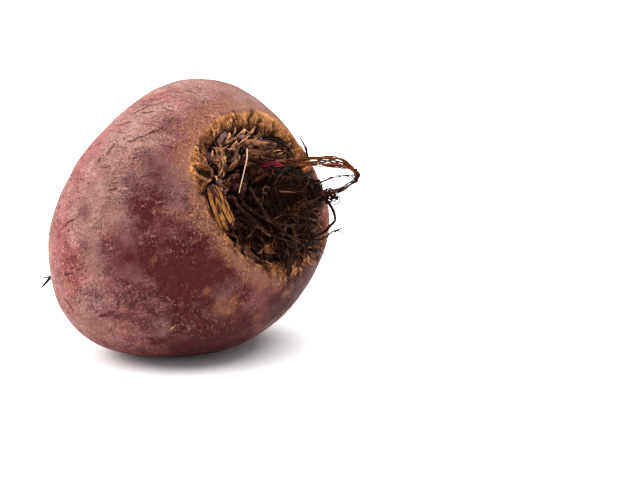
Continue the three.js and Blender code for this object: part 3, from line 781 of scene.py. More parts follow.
class BEETROOT_OT_skin(bpy.types.Operator):
    """Roll a sheet round the root's outline and grow it into its uneven skin"""
    bl_idname = "beetroot.skin"
    bl_label = "Root skin"

    def execute(self, context):
        settings = context.scene.beetroot_skin
        rings = sum(SKIN_RINGS)
        bm = bmesh.new()
        bmesh.ops.create_grid(bm, x_segments=SKIN_LONGITUDES, y_segments=rings, size=1)
        mesh = bpy.data.meshes.new("root_skin")
        bm.to_mesh(mesh)
        sheet = get_places(mesh)
        turn = math.pi * (sheet[:, 0] + 1)
        ring = np.rint((sheet[:, 1] + 1) / 2 * rings).astype(int)
        outline = spline(OUTLINE, ring_shares(SKIN_RINGS))[ring]
        rolled = np.stack([outline[:, 0] * np.cos(turn), outline[:, 0] * np.sin(turn), outline[:, 1]], 1)
        set_places(mesh, rolled)
        bm.clear()
        bm.from_mesh(mesh)
        bmesh.ops.remove_doubles(bm, verts=bm.verts, dist=1e-4)
        bmesh.ops.recalc_face_normals(bm, faces=bm.faces[:])
        bm.to_mesh(mesh)
        bm.free()

        rolled = get_places(mesh)
        angle = np.arctan2(rolled[:, 1], rolled[:, 0])
        run = run_from_crown(rolled)
        grain = np.stack([COLLAR_RADIUS * np.cos(angle), COLLAR_RADIUS * np.sin(angle), run], 1)
        grown = grow_skin(rolled)
        on_crown = smooth((grown[:, 2] - 8) / 8)
        out = np.hypot(grown[:, 0], grown[:, 1])
        around = np.arctan2(grown[:, 1], grown[:, 0])

        def towards(turn, spread):
            return bell((around - math.radians(turn)) / math.radians(spread))

        uneven = 0.7 * noise_at(grown, 3.5, 3.0) + 0.35 * noise_at(grown, 1.3, 8.0)
        outside = out - crest_radius(around) + uneven
        inside = dish_radius(around) - out - uneven

        # The collar is crisp along its upper side, and its edge crumbled away in places.
        upper = smooth((np.sin(around - math.radians(5)) + 0.18) / 0.45)
        upper *= 1 - smooth((around - math.radians(160)) / math.radians(18))
        crisp = np.maximum(upper, 0.3 * towards(-22, 24))
        crumbling = 2.6 * towards(48, 18) - towards(86, 20) - 3.2 * towards(-16, 30)

        # Earth reaches far down from the collar, less on its lower side and where it was rubbed bare.
        low = smooth((0.15 - np.sin(around + math.radians(12))) / 0.5)
        bare = towards(-62, 32)
        reach = 8.4 - 2.8 * low - 3.6 * bare - 2.4 * bell((around - 2.9) / 0.45)
        reach += 2.8 * noise_at(grown, 5, 6.0)

        # How much of each finish lies on the skin.
        near_scar = scar_radius(grown[:, 0], grown[:, 1]) + 0.15 * noise_at(grown, 1.0, 5.0)
        corky = smooth((outside + 9) / 2) * smooth((1.1 + 0.5 * crisp + crumbling - outside) / 2.8)
        crust = low * (1 - 0.7 * bare) * bell((outside - 0.6) / 2.6)
        # The pale lip: painted highlight along the crest's upper side.
        lip = np.maximum(bell((outside - 0.3) / 0.6), bell((around - 1.2) / 0.6) * bell(outside / 2.2))
        shares = {
            "cork": on_crown * corky * (0.36 + 0.64 * np.maximum(crisp, smooth((-1 - outside) / 3))),
            "wall": on_crown * np.maximum(smooth((inside - 1.6) / 3), 0.8 * bell((around - 2.5) / 0.5)),
            "lip": on_crown * lip * crisp,
            "film": on_crown * smooth((outside + 3) / 3) * smooth((reach - outside) / 6),
            "crack": on_crown * np.minimum(radial_cracks(angle, outside) * (0.4 + crisp), 1),
            # Plum share: thin skin, and painted shade on the lower front and lower right flanks.
            "plum": patches_at(grown, PLUM_AND_SHADE_PATCHES),
            "stain": np.maximum(patches_at(grown, STAINS), 0.75 * on_crown * crust),
            "dashes": patches_at(grown, DASHED_PATCHES),
        }
        # The dish's floor under the stalk bases is painted near black: painted shade.
        dish_floor_shade = on_crown * smooth((inside - 4.5) / 1.2)
        scar_dark = 0.9 * on_crown * smooth((1.3 + 0.3 * noise_at(grown, 0.8, 2.0) - near_scar) / 0.8)
        tail_dark = 0.92 * smooth((-54 - grown[:, 2]) / 7)
        cut = shares["crack"]
        shares["crack"] = np.maximum.reduce([0.9 * cut, dish_floor_shade, scar_dark, tail_dark])
        # The lip share also paints highlight round the scar's raised rim.
        shares["lip"] = np.maximum(shares["lip"], 0.6 * on_crown * bell((near_scar - 1.7) / 0.22))

        # Lumps all over, faint streaks to the tail, crumbs and a shelf of cork, and the depth of the cracks.
        unevenness = settings.unevenness / MM
        lift = unevenness * noise_at(grown, 13, 1.0) + 0.4 * unevenness * noise_at(grown, 5, 4.0)
        lift = lift * smooth((grown[:, 2] + 58) / 14)
        lift += 0.06 * noise_at(grain * np.array((1, 1, 0.12)), 1.4, 7.0) * smooth((grown[:, 2] + 56) / 10)
        crumb = 0.4 * noise_at(grown, 2.3, 9.0) + 0.22 * noise_at(grown, 0.9, 11.0)
        shelf = 0.35 * crisp * on_crown * smooth((2.0 - outside) / 1.8) * smooth((outside + 4) / 3)
        lift += shelf + shares["cork"] * crumb + 0.25 * shares["lip"] - 0.8 * cut - 0.35 * scar_dark
        laid = lay(grown + unit(grown) * lift[:, None])
        laid[:, 2] = np.maximum(laid[:, 2], 0)
        set_places(mesh, laid)
        store(mesh, "grain", grain * MM)
        for name, values in shares.items():
            store(mesh, name, values)
        finish_piece("root_skin", mesh, skin_finish(settings), "root")
        return {"FINISHED"}


# Rootlets on the tail.
ROOTLETS = [
    [(-2.4, -4.6, -60), (-5.0, -4.4, -62.2), (-6.4, -3.5, -63.2)],
    [(0.4, -1.6, -55), (3.6, -1.4, -58.4), (5.2, -2.6, -62.5)],
    [(1.2, 2.2, -49), (2.4, 5.4, -51.6), (2.2, 8.4, -52.4)],
]


def taper(start, end):
    """A half width that goes from start to end along a piece."""
    return lambda share: start + (end - start) * share


def given(half_widths):
    """A half width that was worked out for each point of the template."""
    return lambda _: half_widths


def leaf_shape(half, sharpness=0.8):
    """A half width that swells and comes to a point, as a scale or a blade does."""

    def half_width(share):
        swell = np.sin(math.pi * np.minimum(share * 0.9 + 0.08, 1)) ** sharpness
        return half * (0.12 + 0.88 * swell)

    return half_width


class Bunch:
    """Copies of one template with their places and what their finish reads, gathered into one piece."""

    def __init__(self, template):
        self.template = template
        self.shape = np.array([v.co for v in template.verts])
        self.places = []
        self.values = {"shade": [], "along": [], "strip": []}

    def add(self, places, shade, along, strip):
        """Adds a copy; strip is the width, length and seed of flat coordinates for streaks along it."""
        width, length, seed = strip
        across, out, ahead = self.shape.T
        flat = np.stack([across * width + 3.1 * seed, out * 0.2, ahead * length * 0.1], 1) * MM
        self.places.append(places)
        for name, values in (("shade", shade), ("along", along)):
            self.values[name].append(np.broadcast_to(values, len(self.shape)))
        self.values["strip"].append(flat)

    def bend(self, points, half_width, shade, along, strip, *across, shape=None):
        """Adds a copy bent along the curve through the points; across is its half thickness and facing."""
        self.add(bend_along(self.shape if shape is None else shape, points, half_width, *across), shade,
                 along, strip)

    def finish(self, name, material, slot, node_name):
        """Joins the copies into the named object."""
        finish_piece(name, repeated(self.template, self.places, **self.values), material, node_name)


class BEETROOT_OT_rootlets(bpy.types.Operator):
    """Hang the thin dark rootlets on the tail"""
    bl_idname = "beetroot.rootlets"
    bl_label = "Rootlets"

    def execute(self, context):
        settings = context.scene.beetroot_crown
        bunch = Bunch(rod_template(6, 10))
        for k, points in enumerate(ROOTLETS):
            bunch.bend(points, taper(0.42, 0.16), 0.3, 0.2 * bunch.shape[:, 2], (0.4, 6, k))
        finish = plant_finish("dry_rootlet", settings.fibre_dark, settings.stub_brown, settings.stub_torn)
        bunch.finish("tail_rootlets", finish, "root_skin", "root")
        return {"FINISHED"}


# ---- The stalk bases ----

def flap_places(slab, radius, angle, half, thick, height, lean, seed, point, ragged, crumple, twist=0.7):
    """A wall that stands in the dish, curved round the crown's middle, with a torn and crumpled top."""
    u, w, v = slab.T
    tear = noise_of(1.1 * half * u + 17 * seed, 0.4 * seed, 0) + 1.1 * noise_of(2.6 * half * u, 5 * seed, 3)
    apex = 1.1 * (scatter(seed, 6) - 0.5)
    crest = np.maximum(1 - point * np.abs(u - apex) ** 1.3 + ragged * tear, 0.2)
    folds = noise_of(0.7 * half * u, 0.9 * height * v, 9 * seed)
    wrinkles = noise_of(2.2 * half * u, 0.9 * height * v, 4 * seed)
    round_crown = (radius - math.sqrt(max(radius ** 2 - half ** 2, 0.1))) / half ** 2
    x = u * half * (1 - 0.25 * v) + 0.5 * ragged * tear * v
    y = lean * (v * crest) ** 1.5 - round_crown * (u * half) ** 2
    y += w * thick * (1 - 0.5 * u ** 2) * (1 - 0.4 * v)
    y += crumple * v * (1.8 * folds + 0.7 * wrinkles)
    z = v * height * crest - FLAP_SINK
    turn = angle - math.pi / 2 + twist * (scatter(seed, 5) - 0.5)
    ahead = x * math.cos(turn) - y * math.sin(turn)
    aside = x * math.sin(turn) + y * math.cos(turn)
    return np.stack([ahead, aside, z], 1) + crown_point(radius, angle)


def clear_of_tangle(radius, angle, margin):
    """Whether a place in the dish is farther from the tangle than the margin."""
    x = radius * math.cos(angle) - TANGLE_MIDDLE[0]
    y = radius * math.sin(angle) - TANGLE_MIDDLE[1]
    return math.hypot(x, y) > TANGLE_SIZE[0] + margin


def spiral(count, margin, start, shift, key, clearance):
    """Number, direction and radius of each place of the leaf spiral that is clear of the tangle."""
    for i in range(count):
        angle = i * GOLDEN_ANGLE + start + shift * (scatter(i, key) - 0.5)
        radius = (dish_radius(angle) - margin) * math.sqrt((i + 0.5) / count)
        if clear_of_tangle(radius, angle, clearance):
            yield i, angle, radius


def dryness_at(radius, angle):
    """How dry and pale the torn stalks are: most in the outer part of the dish that looks up."""
    return float(smooth((math.sin(angle - math.radians(15)) + 0.1) / 0.6) * smooth((radius - 10) / 5.5))


# The larger torn flaps: direction in degrees, radius, half width, height, lean, how pointed and how dry.
TORN_FLAPS = [
    (137, 17.6, 1.6, 4, 3.4, 0.9, 0.9), (123, 17.8, 1.5, 4.6, 3.6, 1, 1), (114, 17.8, 1, 3.4, 3.4, 0.9, 0.5),
    (106, 18, 1.6, 5, 3.4, 1, 1), (96, 17.8, 1.2, 3.9, 3.4, 0.9, 0.6), (88, 17.9, 1.5, 4.9, 3.6, 1, 1),
    (79, 17.6, 1.3, 4, 3.4, 0.9, 0.8), (70, 17.2, 1.5, 4.2, 3.2, 0.9, 0.5),
    (59, 16.6, 1.6, 3.9, 3.2, 0.9, 0.6),
    (49, 16.2, 1.6, 3.8, 3, 0.9, 0.5), (149, 15.8, 1.9, 4.6, 3, 0.8, 0.9), (139, 14.4, 2.2, 5, 3.2, 0.8, 1),
    (124, 14.9, 1.6, 4.8, 3.2, 0.8, 0.8), (112, 14.7, 2, 4.9, 3, 0.8, 0.6),
    (99, 14.9, 1.6, 4.6, 3.2, 0.8, 0.8),
    (87, 14.5, 1.9, 4.7, 3, 0.8, 0.6), (74, 14.4, 1.6, 4.6, 3, 0.8, 0.7), (61, 13.7, 1.9, 4.6, 2.8, 0.8, 0.5),
    (106, 12.2, 1.9, 5, 2.8, 0.8, 0.6), (86, 12, 2.1, 5, 2.8, 0.8, 0.6), (65, 11.6, 2, 5, 2.6, 0.8, 0.5),
    (96, 10.2, 2, 5.2, 2, 0.8, 0.4), (128, 12, 2, 5, 2.6, 0.8, 0.5), (160, 14.8, 1.9, 4.2, 1.8, 0.8, 0.5),
    (174, 14.4, 2, 4, 1.4, 0.8, 0.25), (45, 12.6, 2.1, 4.4, 2, 0.8, 0.45), (151, 12.4, 1.9, 4.8, 2, 0.8, 0.4),
]
GLOSSY_STUB = (136, 20.4, 2.7, 4.4)  # a bare purple one: direction in degrees, radius, half width and height

# Strips that lie over the stalk bases right of the straw.
STRIP_COUNT = 34
STRIP_PLACE = np.array((1.5, 12.4, 36.6))
STRIP_SPREAD = np.array((13.0, 7.6, 2.4))

# Where torn fibres splay out: middle and how many.
SPLAYS = [((-12.6, 15.6, 35.9), 9), ((-13.4, 12.6, 36.2), 11), ((-14.6, 10.8, 36), 5),
          ((-6.5, 15.5, 36.2), 4), ((3, 14.4, 36.8), 4)]


# Where each kind's random-looking numbers start.
SPLAY_KEYS = 300
STRIP_KEYS = 500
SCRAP_KEYS = 500
GLOSSY_KEY = 900


class BEETROOT_OT_stubs(bpy.types.Operator):
    """Stand the fleshy stalk bases and their torn walls in the dish, in the spiral in which leaves grow"""
    bl_idname = "beetroot.stubs"
    bl_label = "Torn stalk bases"

    def execute(self, context):
        settings = context.scene.beetroot_crown
        flesh = plant_finish("dried_beet_flesh", settings.flesh, settings.flesh_light, settings.flesh_dry_and_highlight,
                             0.36, 0.35, 0.3)
        torn = plant_finish("torn_dry_stalk", settings.flesh, settings.stub_brown, settings.stub_torn, 0.6,
                            0.3)

        # Fleshy stalk bases; their upper edges are paler, partly dried and partly painted highlight.
        bunch = Bunch(slab_template(8, 5))
        up = bunch.shape[:, 2]
        for i, angle, radius in spiral(settings.stub_count, STUB_MARGIN - 1.2, 0.0, 0.35, 54, -2.0):
            dryness = dryness_at(radius, angle)
            places = flap_places(bunch.shape, radius, angle, 1.5 + 2.4 * scatter(i, 1) ** 1.5,
                                 0.7 + 0.8 * scatter(i, 2), 2.4 + 2.0 * scatter(i, 3),
                                 1.6 * (scatter(i, 4) - 0.3), i, 0.35, 0.2, 0.6)
            bunch.add(places, (0.6 + 0.5 * dryness) * scatter(i, 51) + 0.05, (0.3 + 0.5 * dryness) * up ** 2,
                      (3, 4, i))
        turn, radius, half, height = GLOSSY_STUB
        places = flap_places(bunch.shape, radius, math.radians(turn), half, 1.5, height, 0.6, GLOSSY_KEY, 0.6,
                             0.08, 0.15)
        bunch.add(places, 0.45, 0, (3, 4, GLOSSY_KEY))
        bunch.finish("stalk_flesh", flesh, "dry_stalk", "stalk_stubs")

        # Their torn walls, paler towards the rim.
        bunch = Bunch(slab_template(16, 7))
        up = bunch.shape[:, 2]
        torn_rim = np.maximum(up ** 3, 0.9 * up * np.abs(bunch.shape[:, 0]) ** 4)
        for k, (turn, radius, half, height, lean, point, dryness) in enumerate(TORN_FLAPS):
            places = flap_places(bunch.shape, radius, math.radians(turn), half, 0.42, height, lean, k + 0.71,
                                 point, 0.35, 0.3, twist=1.7)
            bunch.add(places, 0.1 + dryness * (0.9 * scatter(k, 55) - 0.1), 1.35 * torn_rim * dryness,
                      (half, 5, k))
        for i, angle, radius in spiral(settings.torn_count, STUB_MARGIN - 1.5, 0.5, 0.4, 56, -1.4):
            dryness = dryness_at(radius, angle) * scatter(i, 52)
            places = flap_places(bunch.shape, radius, angle, 0.9 + 2.0 * scatter(i, 21) ** 2,
                                 0.35 + 0.3 * scatter(i, 22), 2.2 + 2.8 * scatter(i, 23),
                                 3.0 * (scatter(i, 24) - 0.35), i + 0.37, 0.8 * scatter(i, 25), 0.5, 0.4)
            bunch.add(places, 0.2 * scatter(i, 53) + 0.8 * dryness - 0.15, up ** 4 * dryness, (2, 5, i))
        bunch.finish("stalk_torn_walls", torn, "dry_stalk", "stalk_stubs")

        # Torn fibres: strewn in the dish, splayed out of some stalk bases, and combed over others.
        bunch = Bunch(slab_template(2, 5))
        for i in range(settings.shred_count):
            angle = 2 * math.pi * scatter(i, 61)
            radius = (dish_radius(angle) - STUB_MARGIN + 1.2) * math.sqrt(0.1 + 0.9 * scatter(i, 62))
            if not clear_of_tangle(radius, angle, -0.5):
                continue
            foot = crown_point(radius, angle, 0.6 + 3.0 * scatter(i, 63))
            dryness = dryness_at(radius, angle)
            self.add_shred(bunch, i, foot, 2 * math.pi * scatter(i, 64), 1.2 + 3.4 * scatter(i, 65) ** 2,
                           1.4 * (scatter(i, 66) - 0.3), (0.1 + 0.8 * dryness) * scatter(i, 70) - 0.1,
                           dryness * (0.1 + 0.8 * scatter(i, 73) ** 2))
        for k, (middle, count) in enumerate(SPLAYS):
            for i in range(count):
                key = SPLAY_KEYS + 20 * k + i
                foot = np.array(middle) + (*shake(key, 57, 58), 0)
                self.add_shred(bunch, key, foot, 2 * math.pi * (i + scatter(key, 61)) / count,
                               1.2 + 2.4 * scatter(key, 65), 1.6 * scatter(key, 66) - 0.4,
                               0.2 + 0.7 * scatter(key, 70), 0.1 + 0.8 * scatter(key, 73) ** 2)
        for key in range(STRIP_KEYS, STRIP_KEYS + STRIP_COUNT):
            foot = STRIP_PLACE + STRIP_SPREAD * shake(key, 61, 62, 63)
            self.add_shred(bunch, key, foot, math.radians(-28 + 34 * scatter(key, 64)),
                           3.2 + 3.6 * scatter(key, 65), 0.8 * scatter(key, 66),
                           0.9 * scatter(key, 70) ** 2 - 0.1, 0.7 * scatter(key, 73) ** 3, 2.2)
        bunch.finish("stalk_shreds", torn, "dry_stalk", "stalk_stubs")
        return {"FINISHED"}

    def add_shred(self, bunch, key, foot, heading, length, rise, shade, dryness, broad=1.0):
        """Adds one torn fibre that starts at the foot and bends aside on its way."""
        ahead = np.array((math.cos(heading), math.sin(heading), 0))
        aside = np.array((-ahead[1], ahead[0], 0)) * (scatter(key, 71) - 0.5) * length * 0.2
        middle = foot + ahead * length * 0.5 + aside + np.array((0, 0, rise))
        tip = foot + ahead * length + np.array((0, 0, rise * (1.5 - 2 * scatter(key, 67))))
        half = broad * (0.12 + 0.28 * scatter(key, 68) ** 2)
        bunch.bend([foot, middle, tip], taper(half * 1.2, half * 0.1), shade, dryness, (0.5, 4, key),
                   taper(0.12, 0.05), (*shake(key, 69, 72), 0.7))


# Long glossy stalk bases along the left of the dish: route, half width and shade.
STEMS = [
    ([(-19.6, 6.2, 34.2), (-20.7, 4.1, 35.6), (-21.3, 1.6, 36.2), (-21.2, -1.2, 36.2), (-19.8, -4.3, 35.2),
      (-17.8, -6.4, 33.8)], 0.5, 1),
    ([(-18.4, 6.4, 34.2), (-19.4, 3.6, 36), (-19.9, 0.4, 36.5), (-19.4, -2.6, 36.3), (-17.6, -5.6, 35.2),
      (-15.8, -7.4, 33.6)], 0.85, 0.5),
    ([(-16.6, 6, 34.4), (-17.6, 3.6, 36.2), (-18.2, 0.6, 37), (-17.7, -2.2, 37), (-16, -4.8, 36.2),
      (-13.6, -6.4, 34.8)], 0.7, 1.05),
    ([(-15.2, 4.4, 34.6), (-16.4, 1, 36.6), (-16, -2.6, 36.9), (-14.6, -4.9, 36.2), (-12.4, -6.6, 34.6)],
     0.42, 0.7),
    ([(-17.8, -7.6, 34), (-16.2, -8.6, 35.2), (-14.2, -10.2, 35.4), (-12.6, -12.2, 34.2)], 0.45, 0.2),
]

TOWARDS_LIGHT = (-0.7, 0, 0.7)  # the way that the broad side of the glossy stalk bases faces

# Fresh crimson stalk bases where the loop starts.
CRIMSON_STALKS = [
    ([(1.6, 8.6, 36.6), (3.5, 8.3, 38.4), (6.4, 7.9, 39.1), (10.6, 6.4, 38.6)], 0.36),
    ([(2.4, 7.4, 36.9), (4.6, 7.3, 39), (7.8, 6.9, 39.6), (11.4, 5.8, 39)], 0.42),
    ([(3, 6.4, 37), (5.4, 6.6, 39.3), (8.2, 6.1, 39.9), (11.2, 4.8, 39.6)], 0.26),
    ([(2, 9.3, 36.2), (4.4, 9.1, 38), (7.6, 8.3, 38.4), (9.8, 7.6, 37.8)], 0.22),
]


class BEETROOT_OT_stems(bpy.types.Operator):
    """Lay the glossy golden and crimson stalk bases in the dish"""
    bl_idname = "beetroot.stems"
    bl_label = "Glossy stalk bases"

    def execute(self, context):
        settings = context.scene.beetroot_crown
        # Golden ones: lumpy and grooved, with painted highlights as pale lines along
        # the side that faces the light.
        bunch = Bunch(rod_template(20, 24))
        x, y, v = bunch.shape.T
        around = np.arctan2(y, x)
        groove = 1 - 0.14 * (0.5 + 0.5 * np.cos(5 * around)) ** 2
        ribbed = np.stack([x * groove, y * groove, v], 1)
        for k, (points, half, shade) in enumerate(STEMS):
            swell = half * (0.45 + 0.55 * np.sin(math.pi * v) ** 0.7)
            lumps = noise_of(k, 7 * v, 1.2 * around) + 0.6 * noise_of(k + 9, 19 * v, 2 * around)
            lumpy = swell * (1 + 0.5 * lumps)
            drift = around + 1.5 * lumps - 0.9 - 0.4 * k
            # A painted highlight along the side that faces the light.
            highlight_line = bell(drift / 0.3) + 0.7 * bell((drift + 1.1) / 0.2)
            torn_end = (v > 0.94) * (shade > 0.8)
            bunch.bend(points, given(lumpy), shade - 0.9 * (1 - v) ** 2 + 1.3 * lumps,
                       0.5 * highlight_line * (shade > 0) + 0.5 * torn_end, (1.2, 12, k), given(0.6 * lumpy),
                       TOWARDS_LIGHT, shape=ribbed)
        golden = plant_finish("glossy_dried_stalk", settings.flesh, settings.golden, settings.stub_torn, 0.3,
                              0.1)
        bunch.finish("golden_stems", golden, "dry_stalk", "stalk_stubs")

        bunch = Bunch(rod_template(12, 16))
        for k, (points, half) in enumerate(CRIMSON_STALKS):
            bunch.bend(points, leaf_shape(half), 0.75, 0.1, (0.8, 8, k), leaf_shape(0.7 * half),
                       TOWARDS_LIGHT)
        crimson = plant_finish("fresh_crimson_stalk", settings.flesh, settings.crimson, settings.stub_torn,
                               0.3, 0.1)
        bunch.finish("crimson_stalks", crimson, "dry_stalk", "stalk_stubs")
        return {"FINISHED"}


# Dry scales on the lower edge of the collar, and the black blade at its top: route, half width and shade.
SCALES = [
    ([(-9.8, -11, 34.6), (-12.4, -13.2, 36), (-11.9, -15.8, 36), (-9, -17.6, 35.2), (-5.6, -18.4, 34)],
     1.1, 0.5),
    ([(-13.1, -12.6, 34.4), (-12.9, -14.6, 35.4), (-11.6, -16.6, 35.4), (-9.2, -18, 35), (-6.4, -18.8, 34.2)],
     0.3, 1.5),
    ([(-12.6, -9.4, 34.4), (-14.6, -11.6, 35.6), (-15.2, -13.8, 35.2), (-14.4, -16, 33.8)], 0.9, 0.7),
    ([(-8.8, -12.8, 35), (-8.4, -14.6, 36.8), (-9.6, -15.8, 36.4)], 1, 1.1),
    ([(-8.2, -13.6, 35.4), (-6.3, -14.8, 37.2), (-3, -15.8, 37.4), (1, -17.2, 36.6)], 1.2, 1),
    ([(-8.1, -16, 34.6), (-6.1, -16.9, 36), (-3.1, -18, 36.1), (0.6, -18.6, 35.6)], 0.9, -0.3),
    ([(-8.2, -17.6, 33.6), (-6.6, -18.4, 35), (-4.4, -19.2, 34.9), (-2, -20.3, 33.6)], 0.6, 1.3),
    ([(-5.4, -17.4, 34), (-6, -19.4, 35.2), (-4.8, -21.2, 34.6), (-3, -22.2, 33.2)], 0.7, 0.2),
    ([(0.2, -15.2, 36.4), (0.4, -17.4, 38.1), (1.6, -20.6, 37), (3.2, -24.4, 34)], 1.35, 0.05),
    ([(5, -16.2, 36.6), (5.8, -18.7, 38), (6.7, -20.8, 36.8), (7, -22.8, 35.2)], 0.85, 0.2),
    ([(7.2, -15.2, 36.6), (8.6, -17.6, 38.2), (10.2, -20.2, 37.4), (11.8, -22.3, 36.2), (13.7, -21.8, 36)],
     0.6, 1.1),
    ([(11, -14, 35), (14.6, -17.6, 36.6), (17.2, -20.2, 34.6), (18.4, -22.2, 32.6)], 1, 0.5),
    ([(15, -11, 34.6), (18.8, -13.6, 35.6), (21.6, -16.4, 33.8), (23, -18.9, 31.8)], 1, 0.6),
    ([(4.6, -9.6, 42.4), (8, -13, 41), (10.4, -15.4, 39), (12, -17.2, 36.8)], 0.6, 0.5),
    ([(7.2, -9, 43.4), (10.2, -12.3, 42), (12.6, -13.8, 40), (13.9, -15, 37.6)], 0.5, 0.35),
    ([(1, -10, 42.4), (2.8, -14, 41), (4.8, -16.2, 39), (6.4, -18, 36.6)], 0.6, 0.25),
    ([(7, 16.6, 34.6), (10.2, 15.6, 36.6), (13.5, 13.8, 36.6), (17.2, 11.4, 34.8)], 0.85, -0.2),
    ([(9.4, 16, 34.4), (12.6, 14.4, 36.2), (15.6, 12.4, 36), (18, 10.2, 34.4)], 0.55, 0.1),
    ([(-7.8, 5.8, 38), (-5.8, 7.6, 39.6), (-3.4, 6.8, 40.6), (-0.8, 5.6, 40.4)], 1.25, -0.1),
    ([(-7, 3.8, 39), (-4.6, 5.2, 40.8), (-2.2, 5.6, 41.2), (0.4, 4.8, 41)], 0.5, 0.15),
    ([(-10.2, -7.6, 38), (-9.2, -8.8, 40), (-7.9, -10, 40.4)], 0.4, 0.5),
    ([(-7.8, -9.6, 39.4), (-6.6, -10.8, 40.3), (-5.5, -11.8, 39.8)], 0.45, 1.3),
    ([(-12.6, -3.4, 35.6), (-12.6, -5.2, 38.6), (-11, -7.4, 39.4), (-9.4, -9.2, 38)], 0.7, -0.1),
]
SCRAP_COUNT = 60

STRAW = [(-3.9, 14.2, 38.2), (-6.4, 11.4, 39.6), (-9.2, 7.9, 39.9), (-12.1, 2.2, 38.5)]


class BEETROOT_OT_scales(bpy.types.Operator):
    """Hang the dry scales over the collar's edge and drop one pale straw into the dish"""
    bl_idname = "beetroot.scales"
    bl_label = "Dry scales and straw"

    def execute(self, context):
        settings = context.scene.beetroot_crown
        # Scales: crumpled, cupped and ragged, palest at the rim.
        bunch = Bunch(slab_template(10, 18))
        u, w, v = bunch.shape.T
        for k, (points, half, shade) in enumerate(SCALES):
            crumple = noise_of(1.6 * half * u, 5 * v, 3 * k)
            cup = (1.0 + 2.2 * scatter(k, 74)) * u ** 2 + 4.5 * crumple
            ragged = 1 + 0.8 * noise_of(7 * v + 7 * k, 3 * np.sign(u), k)
            x, y, _ = np.mean(points, axis=0)
            rim = np.maximum(np.abs(u) ** 3, v ** 4)
            bunch.bend(points, leaf_shape(half, 0.6 + 0.5 * scatter(k, 75)), shade,
                       (0.1 + 0.4 * shade) * rim + 0.3 * shade - 0.15, (half, 9, k), taper(0.26, 0.12),
                       (0.5 * x / 20 - 0.25, 0.5 * y / 20, 1), shape=np.stack([u * ragged, w + cup, v], 1))
        finish = plant_finish("dry_scale_leaf", settings.fibre_dark, settings.scale_brown, settings.stub_torn,
                              0.5, 0.4, 0.12)
        bunch.finish("crown_scales", finish, "dry_stalk", "stalk_stubs")

        bunch = Bunch(slab_template(8, 5))
        for i in range(SCRAP_COUNT):
            angle = math.radians(192 + 122 * scatter(i, 76))
            radius = dish_radius(angle) - 7.4 - 6.0 * scatter(i, 77)
            if clear_of_tangle(radius, angle, -2.5):
                places = flap_places(bunch.shape, radius, angle, 0.9 + 1.7 * scatter(i, 78) ** 2, 0.3,
                                     1.8 + 2.2 * scatter(i, 79), 4.0 * (scatter(i, 80) - 0.4), i + SCRAP_KEYS,
                                     0.6, 0.45, 0.5)
                bunch.add(places, 1.1 * scatter(i, 98) ** 2 - 0.15,
                          0.7 * scatter(i, 99) ** 3 * bunch.shape[:, 2], (1, 4, i))
        bunch.finish("scale_scraps", finish, "dry_stalk", "stalk_stubs")

        bunch = Bunch(rod_template(8, 20))
        bunch.bend(STRAW, taper(0.2, 0.13), 0.9, 0.9, (0.5, 14, 0))
        straw = plant_finish("pale_dry_straw", settings.stub_torn, settings.stub_torn, settings.straw, 0.45)
        bunch.finish("pale_straw", straw, "dry_stalk", "stalk_stubs")
        return {"FINISHED"}


# ---- The tangle ----

SWIRL = (-0.6, -0.1, 0.8)  # the way from the dome's middle to the middle of its swirl


def dome_lumps(out):
    """How far the tangle stands out in each direction, as a share of its size."""
    apart = np.degrees(np.arccos(np.clip(out @ unit(TANGLE_LOBE["towards"]), -1, 1)))
    lobe = TANGLE_LOBE["share"] * bell(apart / TANGLE_LOBE["spread"])
    return 0.9 + lobe + 0.16 * noise_at(out, 0.55, 2.0) + 0.07 * noise_at(out, 0.22, 5.0)


def wandering_fibre(i, steps, step_length, bend, shell, swirl_share):
    """A route over the tangle's dome that turns as it goes; some circle the swirl."""
    angle = i * GOLDEN_ANGLE
    rise = math.asin(min(0.04 + 0.96 * scatter(i, 81), 1.0))
    out = np.array((math.cos(angle) * math.cos(rise), math.sin(angle) * math.cos(rise), math.sin(rise)))
    heading = np.cross(out, unit(SWIRL)) if scatter(i, 82) < swirl_share else shake(i, 83, 84, 85)
    curve = bend * (scatter(i, 86) - 0.5) * 2
    route = []
    for k in range(steps):
        heading = unit(heading - out * (heading @ out))
        depth = shell + 0.13 * noise.noise((0.9 * k, 3.7 * i, 0)) + 0.05 * scatter(i, 87)
        if k in (0, steps - 1):
            depth -= 0.12 if scatter(i, 88 + k) < 0.6 else -0.14
        route.append(out * depth)
        out = unit(out + heading * step_length)
        if out[2] < 0.02:
            out[2] = 0.02
            heading[2] = abs(heading[2])
        turn = curve + 0.5 * noise.noise((1.3 * k, 0, 5.1 * i))
        heading = heading * math.cos(turn) + np.cross(out, heading) * math.sin(turn)
    return TANGLE_MIDDLE + TANGLE_SIZE * route * dome_lumps(unit(route))[:, None]


def trailing_fibre(i, steps, step_length):
    """A route that trails from the tangle's foot over the stalk bases on its left and below it."""
    angle = math.radians(165 + 158 * scatter(i, 141))
    out = TANGLE_SIZE[0] * (0.72 + (0.62 - 0.3 * bell((angle - 4.4) / 0.8)) * scatter(i, 142))
    x = TANGLE_MIDDLE[0] + out * math.cos(angle)
    y = TANGLE_MIDDLE[1] + out * math.sin(angle)
    heading = angle + math.pi * (scatter(i, 143) - 0.5) + math.pi / 2
    height = 1.6 * scatter(i, 144)
    route = []
    for k in range(steps):
        away = math.hypot(x - TANGLE_MIDDLE[0], y - TANGLE_MIDDLE[1])
        z = 39.6 + height - 0.32 * max(away - 9, 0) + 0.5 * noise.noise((k, 2.3 * i, 5))
        route.append((x, y, z - 1.4 if k in (0, steps - 1) else z))
        heading += 0.9 * noise.noise((1.1 * k, 4.9 * i, 0)) + (0.25 if away > 15 else 0.0)
        x += step_length * math.cos(heading)
        y += step_length * math.sin(heading)
    return np.array(route)


